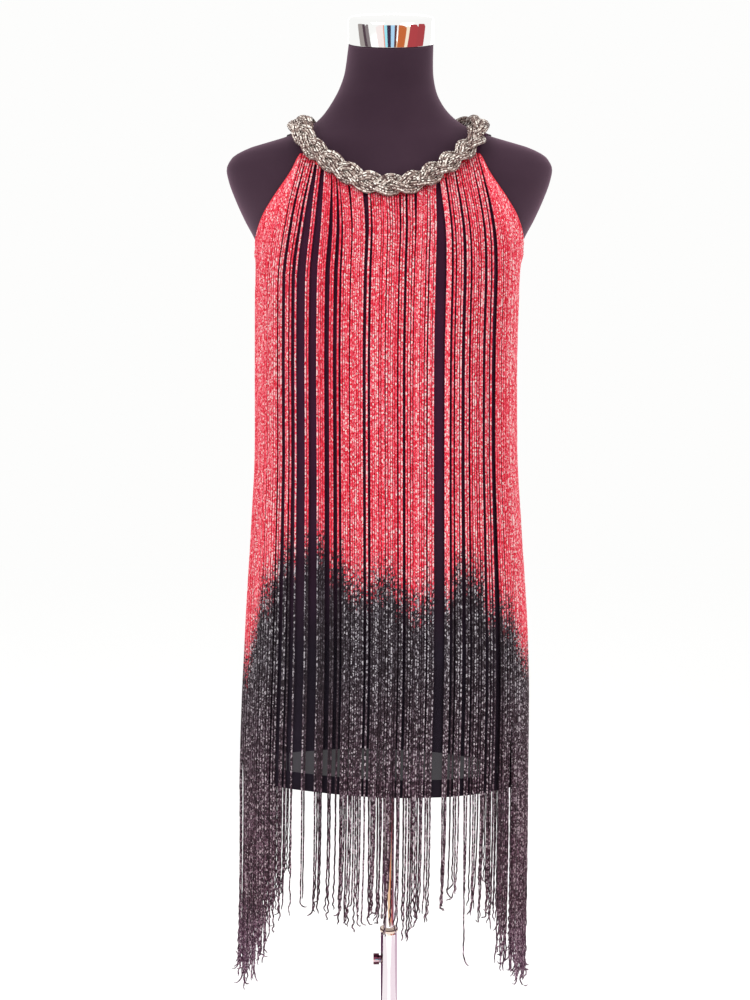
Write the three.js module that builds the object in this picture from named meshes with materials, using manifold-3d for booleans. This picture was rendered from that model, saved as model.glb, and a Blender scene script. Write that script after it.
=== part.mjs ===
// A fringed halter mini dress on a limbless dress form, on a telescopic stand.
// Millimetres, +Z up. The front faces -Y, and the origin is on the floor under the pole.
// A thin jersey slip hangs on the form. Red header tapes along its neckline and its armholes carry
// the fringe, and a braid of three lurex cords lies round the neck and covers the neck tape.
import * as THREE from "three";
import { mergeVertices } from "three/addons/utils/BufferGeometryUtils.js";
import Module from "manifold-3d";

const wasm = await Module();
wasm.setup();

// ---------------------------------------------------------------- driving dimensions
const GAP = 0.3; // between pieces that touch
const BUST_Z = 1235; // above it the cloth lies on the form, below it the cloth hangs
const HIP_Z = 840;
const HEM_Z = 655;
const HEM_BAND = 20; // height of the turned-up hem
const HEM_STEP = 1; // height over which the double hem thins to single cloth
const HEM_RISE = 5; // the hem hangs this much higher at the wearer's right side, lower at the left
const HEM_TILT_FROM = 743; // below this height the cloth runs out of level, down to the tilted hem
const STRAP_TOP = 1450; // the cloth is drawn up to here and then cut along the neckline
const SLIP_CLEAR = 0.9; // from the form to the slip
const SLIP_WALL = 1.4;
const HEM_WALL = 2;
const SLIP_OUT = SLIP_CLEAR + SLIP_WALL;
const CUT = { reach: 220, past: 15, top: 1470 }; // how far the cutting outlines go beyond the cloth
const TAPE = { height: 4.2, thick: 1.9, lift: 1.2, step: 9 };
const STRAND = { width: 2.3, thick: 1.9, rootWidth: 1.5, rootThick: 1.1, rootSink: 0.4, lift: 2.1 };
const NECK_PITCH = 2.9; // between neighbouring strands of the neck fringe at the bust
const ROOT_SPREAD = 0.6; // how far the roots even out along the tape, from 0 to 1
const ARMHOLE_STRANDS = 40; // on one armhole, front and back
const END_SCATTER = 9; // strands end this much higher or lower than their neighbours
const BEND_HEIGHTS = { middle: [1262], side: [1318, 1290, 1262], back: [1345, 1320, 1290, 1262] };
const SIDE_FROM = 68; // strands rooted further out than this bend over the side of the chest
const HIP_FROM = 102; // strands that hang further out than this follow the hip as well
const MIDDLE_REACH = { left: 121, right: 123 }; // how far the neck fringe spreads at the bust
const COLLAR = { swing: 7.6, dive: 4.5, wide: 3.75, thick: 1.95, turns: 9, steps: 63, sides: 6 };
const ROD = { radius: 6.35, low: 215, high: 800 };
const TUBE = { radius: 10, bore: 8.8, low: 8.3, high: 459 };
const BUSH = { bore: 6.75, radius: 8.5, low: 434, flange: 4, flangeRadius: 11 };
const SCREW = { z: 424, stem: 2.5, hole: 2.95, knob: 6.5, knobThick: 7, standOff: 2 };
const BASE = { radius: 150, rim: 4, bevel: 2.5, hub: 17, hubFoot: 22, hubHigh: 45, seat: 8 };
const BASE_DISH = [
  { r: 60, z: 11 },
  { r: 26, z: 15 },
];
const NECK_TOP = { z: 1521, shift: -11, tilt: 0.445 };
const CAP = { radius: 50, side: 24.5, shoulder: 5, dome: 1.5 };

// Horizontal sections of the form: half is the half width, front and back the depths to each side of
// the line y = shift, power the roundness of the oval, tilt the rise of the section towards the back.
const FORM = [
  { z: 720, half: 150, front: 92, back: 96, power: 2, shift: 0, tilt: 0 },
  { z: 728, half: 155, front: 96, back: 101, power: 2, shift: 0, tilt: 0 },
  { z: 780, half: 158.5, front: 98, back: 107, power: 2, shift: 0, tilt: 0 },
  { z: 850, half: 160, front: 99, back: 111, power: 2, shift: 0, tilt: 0 },
  { z: 950, half: 144, front: 93, back: 97, power: 2, shift: 0, tilt: 0 },
  { z: 1050, half: 118, front: 82, back: 75, power: 2, shift: 0, tilt: 0 },
  { z: 1130, half: 127, front: 92, back: 80, power: 2, shift: 0, tilt: 0 },
  { z: 1185, half: 140, front: 108, back: 88, power: 2, shift: 0, tilt: 0 },
  { z: BUST_Z, half: 150.3, front: 122, back: 95, power: 2, shift: 0, tilt: 0 },
  { z: 1262, half: 151.5, front: 113, back: 97.5, power: 2.05, shift: 0, tilt: 0 },
  { z: 1290, half: 158, front: 100, back: 98, power: 2.15, shift: 0, tilt: 0 },
  { z: 1318, half: 172, front: 88, back: 97, power: 2.3, shift: 0, tilt: 0 },
  { z: 1340, half: 182, front: 79, back: 94, power: 2.4, shift: 0, tilt: 0 },
  { z: 1362, half: 190, front: 73, back: 89, power: 2.5, shift: 0, tilt: 0 },
  { z: 1375, half: 192.5, front: 69, back: 84, power: 2.5, shift: 0, tilt: 0 },
  { z: 1387, half: 187.5, front: 65.5, back: 79, power: 2.4, shift: 0, tilt: 0 },
  { z: 1397, half: 172.5, front: 63, back: 76, power: 2.2, shift: 0, tilt: 0 },
  { z: 1405, half: 148.5, front: 61, back: 73, power: 2, shift: 0, tilt: 0 },
  { z: 1412.5, half: 124, front: 59.5, back: 70, power: 1.9, shift: 0, tilt: 0 },
  { z: 1421, half: 101.5, front: 58.5, back: 67.5, power: 1.9, shift: 0, tilt: 0 },
  { z: 1433, half: 82, front: 58, back: 65, power: 1.95, shift: 0, tilt: 0 },
  { z: 1450, half: 67, front: 56.5, back: 59, power: 2, shift: -1, tilt: 0 },
  { z: 1470, half: 56.8, front: 53, back: 53, power: 2, shift: -4.5, tilt: 0.1 },
  { z: 1490, half: 51.8, front: 50, back: 50, power: 2, shift: -8, tilt: 0.25 },
  { z: NECK_TOP.z, half: 49.6, front: 46.6, back: 46.6, power: 2, shift: NECK_TOP.shift, tilt: NECK_TOP.tilt },
];

// The form and the cloth stand a little askew: how far their middle lies to the side at each height.
const LEAN = [
  { z: HEM_Z, x: -6.5 },
  { z: HIP_Z, x: -3.4 },
  { z: 1130, x: -4 },
  { z: BUST_Z, x: -2.6 },
  { z: 1300, x: 0 },
  { z: 1400, x: 0 },
  { z: 1450, x: -3.5 },
  { z: 1490, x: -0.5 },
  { z: NECK_TOP.z, x: 1.8 },
];

// The surface that the cloth lies on: the hanging slip's own ovals below the bust, the form above it.
const HANG = [
  { z: 600, half: 167.8, front: 107, back: 110, power: 2, shift: 0, tilt: 0 },
  { z: HEM_Z, half: 167.8, front: 107, back: 110, power: 2, shift: 0, tilt: 0 },
  { z: 743, half: 166.5, front: 107.8, back: 111.5, power: 2, shift: 0, tilt: 0 },
  { z: HIP_Z, half: 162.6, front: 109, back: 113, power: 2, shift: 0, tilt: 0 },
  { z: 950, half: 155.4, front: 111.8, back: 108, power: 2, shift: 0, tilt: 0 },
  { z: 1050, half: 150, front: 115.5, back: 102, power: 2, shift: 0, tilt: 0 },
  { z: 1150, half: 149.4, front: 119.2, back: 98, power: 2, shift: 0, tilt: 0 },
];
const SUPPORT = [...HANG, ...FORM.filter((row) => row.z >= BUST_Z)];

// Edges of the cut, on the right half: x is the distance from the middle.
const ARMHOLE_EDGE = [
  { x: 160, z: 1277 },
  { x: 153, z: 1290 },
  { x: 144, z: 1308 },
  { x: 131, z: 1328 },
  { x: 112, z: 1355 },
  { x: 102, z: 1381 },
  { x: 108, z: 1402 },
  { x: 121, z: 1413.5 },
];
const FRONT_NECK_EDGE = [
  { x: 0, z: 1343 },
  { x: 25, z: 1347 },
  { x: 47, z: 1358 },
  { x: 67, z: 1374 },
  { x: 82, z: 1391 },
  { x: 94, z: 1408 },
  { x: 101, z: 1421 },
];
const BACK_NECK_EDGE = [
  { x: 0, z: 1430 },
  { x: 40, z: 1429 },
  { x: 75, z: 1426 },
  { x: 101, z: 1421 },
];
const NECK_TAPE = [
  { x: 0, z: 1330 },
  { x: 25, z: 1333.5 },
  { x: 47, z: 1343.5 },
  { x: 66, z: 1356 },
  { x: 82, z: 1368 },
  { x: 95, z: 1377 },
];
// The armhole tape runs from a front corner under the arm to the same height at the back.
const ARMHOLE_TAPE = [
  { x: 101.5, z: 1375 },
  { x: 112, z: 1355 },
  { x: 131, z: 1328 },
  { x: 144, z: 1308 },
  { x: 151, z: 1292 },
  { x: 152, z: 1281 },
];
const UNDERARM_Z = 1276; // where the armhole tape passes under the arm
// Where the braid lies on the body: turn is the angle from the front in degrees, and lift its middle's
// height over the body, more in front, where it covers the tape.
const COLLAR_LINE = [
  { turn: 0, z: 1335.5, lift: 12.3 },
  { turn: 7.7, z: 1339.5, lift: 12.3 },
  { turn: 13.7, z: 1350, lift: 12.3 },
  { turn: 19.3, z: 1362.5, lift: 12.3 },
  { turn: 25, z: 1377, lift: 12.3 },
  { turn: 33, z: 1395, lift: 11.6 },
  { turn: 46, z: 1409, lift: 10.8 },
  { turn: 90, z: 1421, lift: 10.4 },
  { turn: 122, z: 1427.5, lift: 9.4 },
  { turn: 150, z: 1432, lift: 9.4 },
  { turn: 180, z: 1434, lift: 9.4 },
];
// Open stretches between the bands of the neck fringe, at the bust: middle of each and its width.
const FRINGE_GAPS = [
  { at: -116, wide: 3 },
  { at: -105, wide: 3.4 },
  { at: -97, wide: 8.6 },
  { at: -83, wide: 7.6 },
  { at: -68.5, wide: 4 },
  { at: -59.5, wide: 2.2 },
  { at: -27, wide: 3.2 },
  { at: -21.5, wide: 3 },
  { at: 17, wide: 3 },
  { at: 42.5, wide: 2.2 },
  { at: 56.5, wide: 12.4 },
  { at: 68.5, wide: 2.2 },
  { at: 82.5, wide: 3.2 },
  { at: 89.5, wide: 2.2 },
  { at: 105.5, wide: 3.2 },
  { at: 115.5, wide: 3.2 },
];
// Height of the fringe's lower ends, by the distance from the middle at the bust.
const FRINGE_ENDS = [
  { x: 0, z: 512 },
  { x: 35, z: 520 },
  { x: 70, z: 534 },
  { x: 100, z: 535 },
  { x: 122, z: 500 },
  { x: 138, z: 461 },
  { x: 150, z: 418 },
  { x: 158, z: 404 },
];

// The form's rings stand at the rows of its table, and halfway between those from the hip to the bust.
const HIP_FOOT_Z = 780;
const FORM_HEIGHTS = FORM.flatMap(({ z }, i) => {
  const between = z > HIP_FOOT_Z && z < BUST_Z;
  return between ? [(z + FORM[i - 1].z) / 2, z] : [z];
});

// ---------------------------------------------------------------- materials
const finish = (color, roughness, metalness = 0) => new THREE.MeshStandardMaterial({ color, roughness, metalness });
const FORM_JERSEY = finish(0x2a2228, 0.9);
const SLIP_JERSEY = finish(0x1a1218, 0.85);
const RED_LUREX = finish(0xc8283c, 0.55, 0.2);
const SILVER_LUREX = finish(0xa09088, 0.4, 0.6);
const CHROME = finish(0xd8dadd, 0.12, 1);
const STEEL = finish(0xb4b6b8, 0.3, 1);
const NYLON = finish(0xd8ccc0, 0.45);

// ---------------------------------------------------------------- small tools
// One column of a table at a height or distance, on a smooth curve that never overshoots its rows.
function columnAt(rows, column, at, key = "z") {
  const last = rows.length - 1;
  if (at <= rows[0][key]) return rows[0][column];
  if (at >= rows[last][key]) return rows[last][column];
  const i = rows.findIndex((row) => row[key] > at) - 1;
  const slope = (k) => (rows[k + 1][column] - rows[k][column]) / (rows[k + 1][key] - rows[k][key]);
  const tangent = (k) => {
    if (k === 0 || k === last) return slope(Math.min(k, last - 1));
    const [before, after] = [slope(k - 1), slope(k)];
    return before * after <= 0 ? 0 : (2 * before * after) / (before + after);
  };
  const span = rows[i + 1][key] - rows[i][key];
  const t = (at - rows[i][key]) / span;
  const [square, cube] = [t * t, t * t * t];
  return (
    (2 * cube - 3 * square + 1) * rows[i][column] +
    (cube - 2 * square + t) * span * tangent(i) +
    (3 * square - 2 * cube) * rows[i + 1][column] +
    (cube - square) * span * tangent(i + 1)
  );
}

// The point of a section table at an angle from the front (positive towards +X) and a height.
function sectionPoint(rows, turn, z) {
  const at = (column) => columnAt(rows, column, z);
  const across = Math.sin(turn);
  const power = at("power");
  const depth = Math.cos(turn) >= 0 ? -at("front") : at("back");
  const y = depth * Math.pow(Math.max(0, 1 - Math.pow(Math.abs(across), power)), 1 / power);
  const lean = columnAt(LEAN, "x", z);
  return new THREE.Vector3(at("half") * across + lean, y + at("shift"), z + at("tilt") * y);
}

function supportNormal(turn, z) {
  const [turnStep, zStep] = [0.02, 0.8];
  const around = sectionPoint(SUPPORT, turn + turnStep, z).sub(sectionPoint(SUPPORT, turn - turnStep, z));
  const up = sectionPoint(SUPPORT, turn, z + zStep).sub(sectionPoint(SUPPORT, turn, z - zStep));
  return around.cross(up).normalize();
}

const lifted = (turn, z, lift) =>
  sectionPoint(SUPPORT, turn, z).addScaledVector(supportNormal(turn, z), lift);

// The angle at which a body section is x wide; back says which side of the body.
function turnOf(x, z, back = false) {
  const share = THREE.MathUtils.clamp(x / columnAt(SUPPORT, "half", z), -1, 1);
  return back ? Math.PI - Math.asin(share) : Math.asin(share);
}

function geometryOf(points, triangles) {
  const geometry = new THREE.BufferGeometry().setFromPoints(points);
  geometry.setIndex(triangles.flat());
  return geometry;
}

// A closed geometry as a manifold solid with its faces pointing out.
function solid(geometry) {
  const bare = geometry.clone();
  bare.deleteAttribute("normal");
  bare.deleteAttribute("uv");
  const merged = mergeVertices(bare, 1e-4);
  const vertProperties = merged.attributes.position.array;
  const triVerts = new Uint32Array(merged.index.array);
  const made = new wasm.Manifold(new wasm.Mesh({ numProp: 3, vertProperties, triVerts }));
  if (made.volume() > 0) return made;
  return new wasm.Manifold(new wasm.Mesh({ numProp: 3, vertProperties, triVerts: triVerts.reverse() }));
}

function meshOf(name, made, material) {
  const { vertProperties, triVerts, numProp } = made.getMesh();
  const position = new Float32Array((vertProperties.length / numProp) * 3);
  for (let i = 0; i < position.length / 3; i += 1) {
    position.set(vertProperties.subarray(i * numProp, i * numProp + 3), i * 3);
  }
  const geometry = new THREE.BufferGeometry().setAttribute("position", new THREE.BufferAttribute(position, 3));
  geometry.setIndex(new THREE.BufferAttribute(triVerts, 1));
  geometry.computeVertexNormals();
  const mesh = new THREE.Mesh(geometry, material);
  mesh.name = name;
  return mesh;
}

// A solid through rings of equally many points; looped joins the last ring to the first.
function loft(rings, looped = false) {
  const sides = rings[0].length;
  const triangles = [];
  const spans = looped ? rings.length : rings.length - 1;
  for (let r = 0; r < spans; r += 1) {
    const next = ((r + 1) % rings.length) * sides;
    for (let s = 0; s < sides; s += 1) {
      const t = (s + 1) % sides;
      triangles.push([r * sides + s, r * sides + t, next + t], [r * sides + s, next + t, next + s]);
    }
  }
  const end = (rings.length - 1) * sides;
  for (let s = 1; !looped && s < sides - 1; s += 1) {
    triangles.push([0, s + 1, s], [end, end + s, end + s + 1]);
  }
  return solid(geometryOf(rings.flat(), triangles));
}

// A wall between two grids of points, rows of equally many columns, closed at its four rims.
function wall(outer, inner) {
  const [rows, columns] = [outer.length, outer[0].length];
  const back = rows * columns;
  const at = (r, c) => r * columns + c;
  const triangles = [];
  const quad = (a, b, c, d) => triangles.push([a, b, c], [a, c, d]);
  for (let r = 0; r < rows - 1; r += 1) {
    for (let c = 0; c < columns - 1; c += 1) {
      quad(at(r, c), at(r, c + 1), at(r + 1, c + 1), at(r + 1, c));
      quad(back + at(r, c), back + at(r + 1, c), back + at(r + 1, c + 1), back + at(r, c + 1));
    }
  }
  for (let c = 0; c < columns - 1; c += 1) {
    quad(at(0, c), back + at(0, c), back + at(0, c + 1), at(0, c + 1));
    quad(at(rows - 1, c), at(rows - 1, c + 1), back + at(rows - 1, c + 1), back + at(rows - 1, c));
  }
  for (let r = 0; r < rows - 1; r += 1) {
    quad(at(r, 0), at(r + 1, 0), back + at(r + 1, 0), back + at(r, 0));
    quad(at(r, columns - 1), back + at(r, columns - 1), back + at(r + 1, columns - 1), at(r + 1, columns - 1));
  }
  return solid(geometryOf([...outer.flat(), ...inner.flat()], triangles));
}

// A solid of revolution round Z through {r, z} points.
function turned(profile, segments) {
  const points = profile.map(({ r, z }) => new THREE.Vector2(r, z));
  return solid(new THREE.LatheGeometry(points, segments).rotateX(Math.PI / 2));
}

function cylinderAlongX(radius, xFrom, xTo, z, segments) {
  const geometry = new THREE.CylinderGeometry(radius, radius, xTo - xFrom, segments);
  return solid(geometry.rotateZ(Math.PI / 2).translate((xFrom + xTo) / 2, 0, z));
}

// A prism of an outline of {x, z} points, from just past the side seams towards the front or the back.
function prism(outline, towardsBack) {
  const shape = new THREE.Shape(outline.map(({ x, z }) => new THREE.Vector2(x, z)));
  const extruded = new THREE.ExtrudeGeometry(shape, { depth: CUT.reach, bevelEnabled: false });
  return solid(extruded.rotateX(Math.PI / 2).translate(0, towardsBack ? CUT.reach - CUT.past : CUT.past, 0));
}

const mirrored = (rows) => rows.map(({ x, z }) => ({ x: -x, z })).reverse();

// ---------------------------------------------------------------- stand and dress form
function standPieces() {
  const base = turned(
    [
      { r: 0, z: 0 },
      { r: BASE.radius, z: 0 },
      { r: BASE.radius, z: BASE.rim },
      { r: BASE.radius - 2 * BASE.bevel, z: BASE.rim + BASE.bevel },
      ...BASE_DISH,
      { r: BASE.hub, z: BASE.hubFoot },
      { r: BASE.hub, z: BASE.hubHigh - BASE.bevel },
      { r: BASE.hub - BASE.bevel, z: BASE.hubHigh },
      { r: TUBE.radius + GAP, z: BASE.hubHigh },
      { r: TUBE.radius + GAP, z: BASE.seat },
      { r: 0, z: BASE.seat },
    ],
    24,
  );
  const tube = turned(
    [
      { r: TUBE.radius, z: TUBE.low },
      { r: TUBE.radius, z: TUBE.high },
      { r: TUBE.bore, z: TUBE.high },
      { r: TUBE.bore, z: TUBE.low },
      { r: TUBE.radius, z: TUBE.low },
    ],
    16,
  ).subtract(cylinderAlongX(SCREW.hole, -2 * TUBE.radius, 0, SCREW.z, 12));
  const bush = turned(
    [
      { r: BUSH.radius, z: BUSH.low },
      { r: BUSH.radius, z: TUBE.high + GAP },
      { r: BUSH.flangeRadius, z: TUBE.high + GAP },
      { r: BUSH.flangeRadius, z: TUBE.high + BUSH.flange },
      { r: BUSH.bore, z: TUBE.high + BUSH.flange },
      { r: BUSH.bore, z: BUSH.low },
      { r: BUSH.radius, z: BUSH.low },
    ],
    16,
  );
  const rod = turned(
    [
      { r: 0, z: ROD.low },
      { r: ROD.radius, z: ROD.low },
      { r: ROD.radius, z: ROD.high },
      { r: 0, z: ROD.high },
    ],
    16,
  );
  const knobFace = -TUBE.radius - SCREW.standOff;
  const stemStart = knobFace - SCREW.knobThick / 2;
  const stem = cylinderAlongX(SCREW.stem, stemStart, -ROD.radius - GAP, SCREW.z, 12);
  const knob = cylinderAlongX(SCREW.knob, knobFace - SCREW.knobThick, knobFace, SCREW.z, 10);
  return { base, tube, bush, rod, thumbscrew: knob.add(stem) };
}

function dressForm() {
  const sides = 32;
  const rings = FORM_HEIGHTS.map((z) =>
    Array.from({ length: sides }, (_, s) => sectionPoint(FORM, (s / sides) * 2 * Math.PI, z)),
  );
  const mouth = FORM[0].z - CUT.past;
  const socket = turned(
    [
      { r: 0, z: mouth },
      { r: BUSH.bore, z: mouth },
      { r: BUSH.bore, z: ROD.high + GAP },
      { r: 0, z: ROD.high + GAP },
    ],
    16,
  );
  return loft(rings).subtract(socket);
}

function neckCap() {
  const quarter = [0, Math.PI / 4, Math.PI / 2];
  const shoulder = quarter.map((angle) => ({
    r: CAP.radius - CAP.shoulder * (1 - Math.cos(angle)),
    z: CAP.side + CAP.shoulder * Math.sin(angle),
  }));
  const top = CAP.side + CAP.shoulder + CAP.dome;
  const made = turned([{ r: 0, z: GAP }, { r: CAP.radius, z: GAP }, ...shoulder, { r: 0, z: top }], 24);
  const mesh = meshOf("neck_cap", made, CHROME);
  mesh.rotation.x = Math.atan(NECK_TOP.tilt);
  mesh.position.set(columnAt(LEAN, "x", NECK_TOP.z), NECK_TOP.shift, NECK_TOP.z);
  return mesh;
}

// ---------------------------------------------------------------- slip
function slipPanel(back) {
  const columns = 20;
  const hangRows = HANG.map(({ z }) => z).filter((z) => z > HEM_Z);
  const bodyRows = FORM_HEIGHTS.filter((z) => z >= BUST_Z && z <= STRAP_TOP);
  const hemTop = HEM_Z + HEM_BAND;
  const heights = [HEM_Z, hemTop, hemTop + HEM_STEP, ...hangRows, ...bodyRows];
  const hemHalf = columnAt(SUPPORT, "half", HEM_Z);
  const hemShare = (z) => THREE.MathUtils.clamp((HEM_TILT_FROM - z) / (HEM_TILT_FROM - HEM_Z), 0, 1);
  const seamTurn = (z) => {
    const power = columnAt(SUPPORT, "power", z);
    const share = GAP / 2 / columnAt(SUPPORT, back ? "back" : "front", z);
    return Math.asin((1 - share ** power) ** (1 / power));
  };
  const grid = (liftAt) =>
    heights.map((z) =>
      Array.from({ length: columns + 1 }, (_, c) => {
        const half = seamTurn(z);
        const turn = -half + (2 * half * c) / columns;
        const point = lifted(back ? Math.PI - turn : turn, z, liftAt(z));
        point.z -= (HEM_RISE * hemShare(z) * point.x) / hemHalf;
        return point;
      }),
    );
  const shell = wall(
    grid(() => SLIP_OUT),
    grid((z) => (z <= hemTop ? SLIP_OUT - HEM_WALL : SLIP_CLEAR)),
  );
  const edge = ARMHOLE_EDGE;
  const armhole = [
    { x: CUT.reach, z: edge[0].z },
    ...edge,
    { x: edge.at(-1).x, z: CUT.top },
    { x: CUT.reach, z: CUT.top },
  ];
  const neckEdge = back ? BACK_NECK_EDGE : FRONT_NECK_EDGE;
  const neck = [...mirrored(neckEdge), ...neckEdge.slice(1)];
  neck.push({ x: neckEdge.at(-1).x, z: CUT.top }, { x: -neckEdge.at(-1).x, z: CUT.top });
  return shell
    .subtract(prism(armhole, back))
    .subtract(prism(mirrored(armhole), back))
    .subtract(prism(neck, back));
}

// ---------------------------------------------------------------- fringe
// A line on the body with its length measured, so that roots can be set evenly along it.
function bodyLine(stations) {
  const samples = 160;
  const curve = new THREE.CatmullRomCurve3(
    stations.map(({ turn, z }) => new THREE.Vector3(turn, z, 0)),
    false,
    "centripetal",
  );
  const points = Array.from({ length: samples + 1 }, (_, i) => {
    const { x: turn, y: z } = curve.getPoint(i / samples);
    return { turn, z, place: sectionPoint(SUPPORT, turn, z) };
  });
  const lengths = [0];
  for (let i = 1; i < points.length; i += 1) {
    lengths.push(lengths[i - 1] + points[i].place.distanceTo(points[i - 1].place));
  }
  const at = (share) => {
    const wanted = share * lengths.at(-1);
    const i = Math.max(1, lengths.findIndex((length) => length >= wanted - 1e-9));
    const t = (wanted - lengths[i - 1]) / (lengths[i] - lengths[i - 1]);
    const mix = (name) => THREE.MathUtils.lerp(points[i - 1][name], points[i][name], t);
    return { turn: mix("turn"), z: mix("z") };
  };
  return { at, length: lengths.at(-1) };
}

// A flat tape along a body line, lying on the slip, with about one step for each three strands.
function tape(line) {
  const steps = Math.round(line.length / TAPE.step);
  const rings = [];
  for (let i = 0; i <= steps; i += 1) {
    const here = line.at(i / steps);
    const [a, b] = [line.at(Math.max(0, i - 0.5) / steps), line.at(Math.min(steps, i + 0.5) / steps)];
    const along = sectionPoint(SUPPORT, b.turn, b.z).sub(sectionPoint(SUPPORT, a.turn, a.z)).normalize();
    const out = supportNormal(here.turn, here.z);
    const down = along.clone().cross(out).normalize();
    const low = sectionPoint(SUPPORT, here.turn, here.z).addScaledVector(out, SLIP_OUT + TAPE.lift);
    const corner = (over, lift) =>
      low.clone().addScaledVector(down, over * (TAPE.height / 2)).addScaledVector(out, lift);
    rings.push([corner(-1, 0), corner(1, 0), corner(1, TAPE.thick), corner(-1, TAPE.thick)]);
  }
  return loft(rings);
}

// A strand of the fringe: stations are places on the body, from the root down; its end hangs free.
function strand(stations, endZ) {
  const places = stations.map(({ turn, z }) => ({
    foot: sectionPoint(SUPPORT, turn, z),
    out: supportNormal(turn, z),
  }));
  const hem = places.at(-1);
  places.push({ foot: hem.foot.clone().setZ(endZ), out: hem.out });
  const rings = places.map(({ foot, out }, i) => {
    const before = places[Math.max(0, i - 1)].foot;
    const after = places[Math.min(places.length - 1, i + 1)].foot;
    const along = after.clone().sub(before).normalize();
    const side = along.clone().cross(out).normalize();
    const root = i === 0;
    const [width, thick] = root ? [STRAND.rootWidth, STRAND.rootThick] : [STRAND.width, STRAND.thick];
    const low = foot.clone().addScaledVector(out, SLIP_OUT + (root ? TAPE.lift + STRAND.rootSink : STRAND.lift));
    return [
      low.clone().addScaledVector(side, -width / 2),
      low.clone().addScaledVector(side, width / 2),
      low.clone().addScaledVector(out, thick),
    ];
  });
  return loft(rings);
}

// Stations of one strand, from its root to the hem. middle is its distance from the centre at the bust.
function fall(root, middle, back) {
  const start = sectionPoint(SUPPORT, root.turn, root.z);
  const bustHalf = columnAt(SUPPORT, "half", BUST_Z);
  const stations = [{ turn: root.turn, z: root.z }];
  const bends = back ? "back" : Math.abs(start.x) > SIDE_FROM ? "side" : "middle";
  for (const z of BEND_HEIGHTS[bends].filter((height) => height < root.z - 2 * TAPE.height)) {
    const share = (start.z - z) / (start.z - BUST_Z);
    const x = THREE.MathUtils.lerp(start.x, middle, 1 - (1 - share) ** 2);
    stations.push({ turn: turnOf(x, z, back), z });
  }
  const hangs = Math.abs(middle) > HIP_FROM ? [BUST_Z, HIP_Z, HEM_Z] : [BUST_Z, HEM_Z];
  for (const z of hangs) {
    const spread = columnAt(SUPPORT, "half", z) - bustHalf;
    const x = middle + spread * (middle / bustHalf) ** 3;
    stations.push({ turn: turnOf(x, z, back), z });
  }
  return stations;
}

const endHeight = (middle) => columnAt(FRINGE_ENDS, "z", Math.abs(middle), "x");
// A repeatable uneven number from -1 to 1 for the n-th strand.
const uneven = (n) => Math.sin(n * 12.9898) * Math.cos(n * 4.1414);

function neckFringe() {
  const half = NECK_TAPE.map(({ x, z }) => ({ turn: turnOf(x, z), z }));
  const line = bodyLine([...half.map(({ turn, z }) => ({ turn: -turn, z })).reverse(), ...half.slice(1)]);
  const { left, right } = MIDDLE_REACH;
  const middles = [];
  for (let x = -left + NECK_PITCH / 2; x < right; x += NECK_PITCH) {
    const gap = FRINGE_GAPS.find(({ at, wide }) => Math.abs(x - at) < (wide + STRAND.width) / 2);
    if (gap) x = gap.at + (gap.wide + STRAND.width) / 2;
    middles.push(x);
  }
  const strands = middles.map((middle, n) => {
    const straight = THREE.MathUtils.mapLinear(middle, -left, right, 0, 1);
    const even = (n + 0.5) / middles.length;
    const root = line.at(THREE.MathUtils.lerp(straight, even, ROOT_SPREAD));
    return strand(fall(root, middle, false), endHeight(middle) + END_SCATTER * uneven(n));
  });
  return wasm.Manifold.union([tape(line), ...strands]);
}

function armholeFringe(side) {
  const front = ARMHOLE_TAPE.map(({ x, z }) => ({ turn: turnOf(x, z), z }));
  const rear = front.map(({ turn, z }) => ({ turn: Math.PI - turn, z })).reverse();
  const stations = [...front, { turn: Math.PI / 2, z: UNDERARM_Z }, ...rear];
  const line = bodyLine(stations.map(({ turn, z }) => ({ turn: side * turn, z })));
  const bustHalf = columnAt(SUPPORT, "half", BUST_Z);
  const nearest = (side < 0 ? MIDDLE_REACH.left : MIDDLE_REACH.right) + 1;
  const least = Math.asin(nearest / bustHalf);
  const strands = Array.from({ length: ARMHOLE_STRANDS }, (_, n) => {
    const share = (n + 0.5) / ARMHOLE_STRANDS;
    const turn = THREE.MathUtils.lerp(least, Math.PI - least, share);
    const middle = side * bustHalf * Math.sin(turn);
    return strand(fall(line.at(share), middle, share > 0.5), endHeight(middle) + END_SCATTER * uneven(n));
  });
  return wasm.Manifold.union([tape(line), ...strands]);
}

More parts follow.
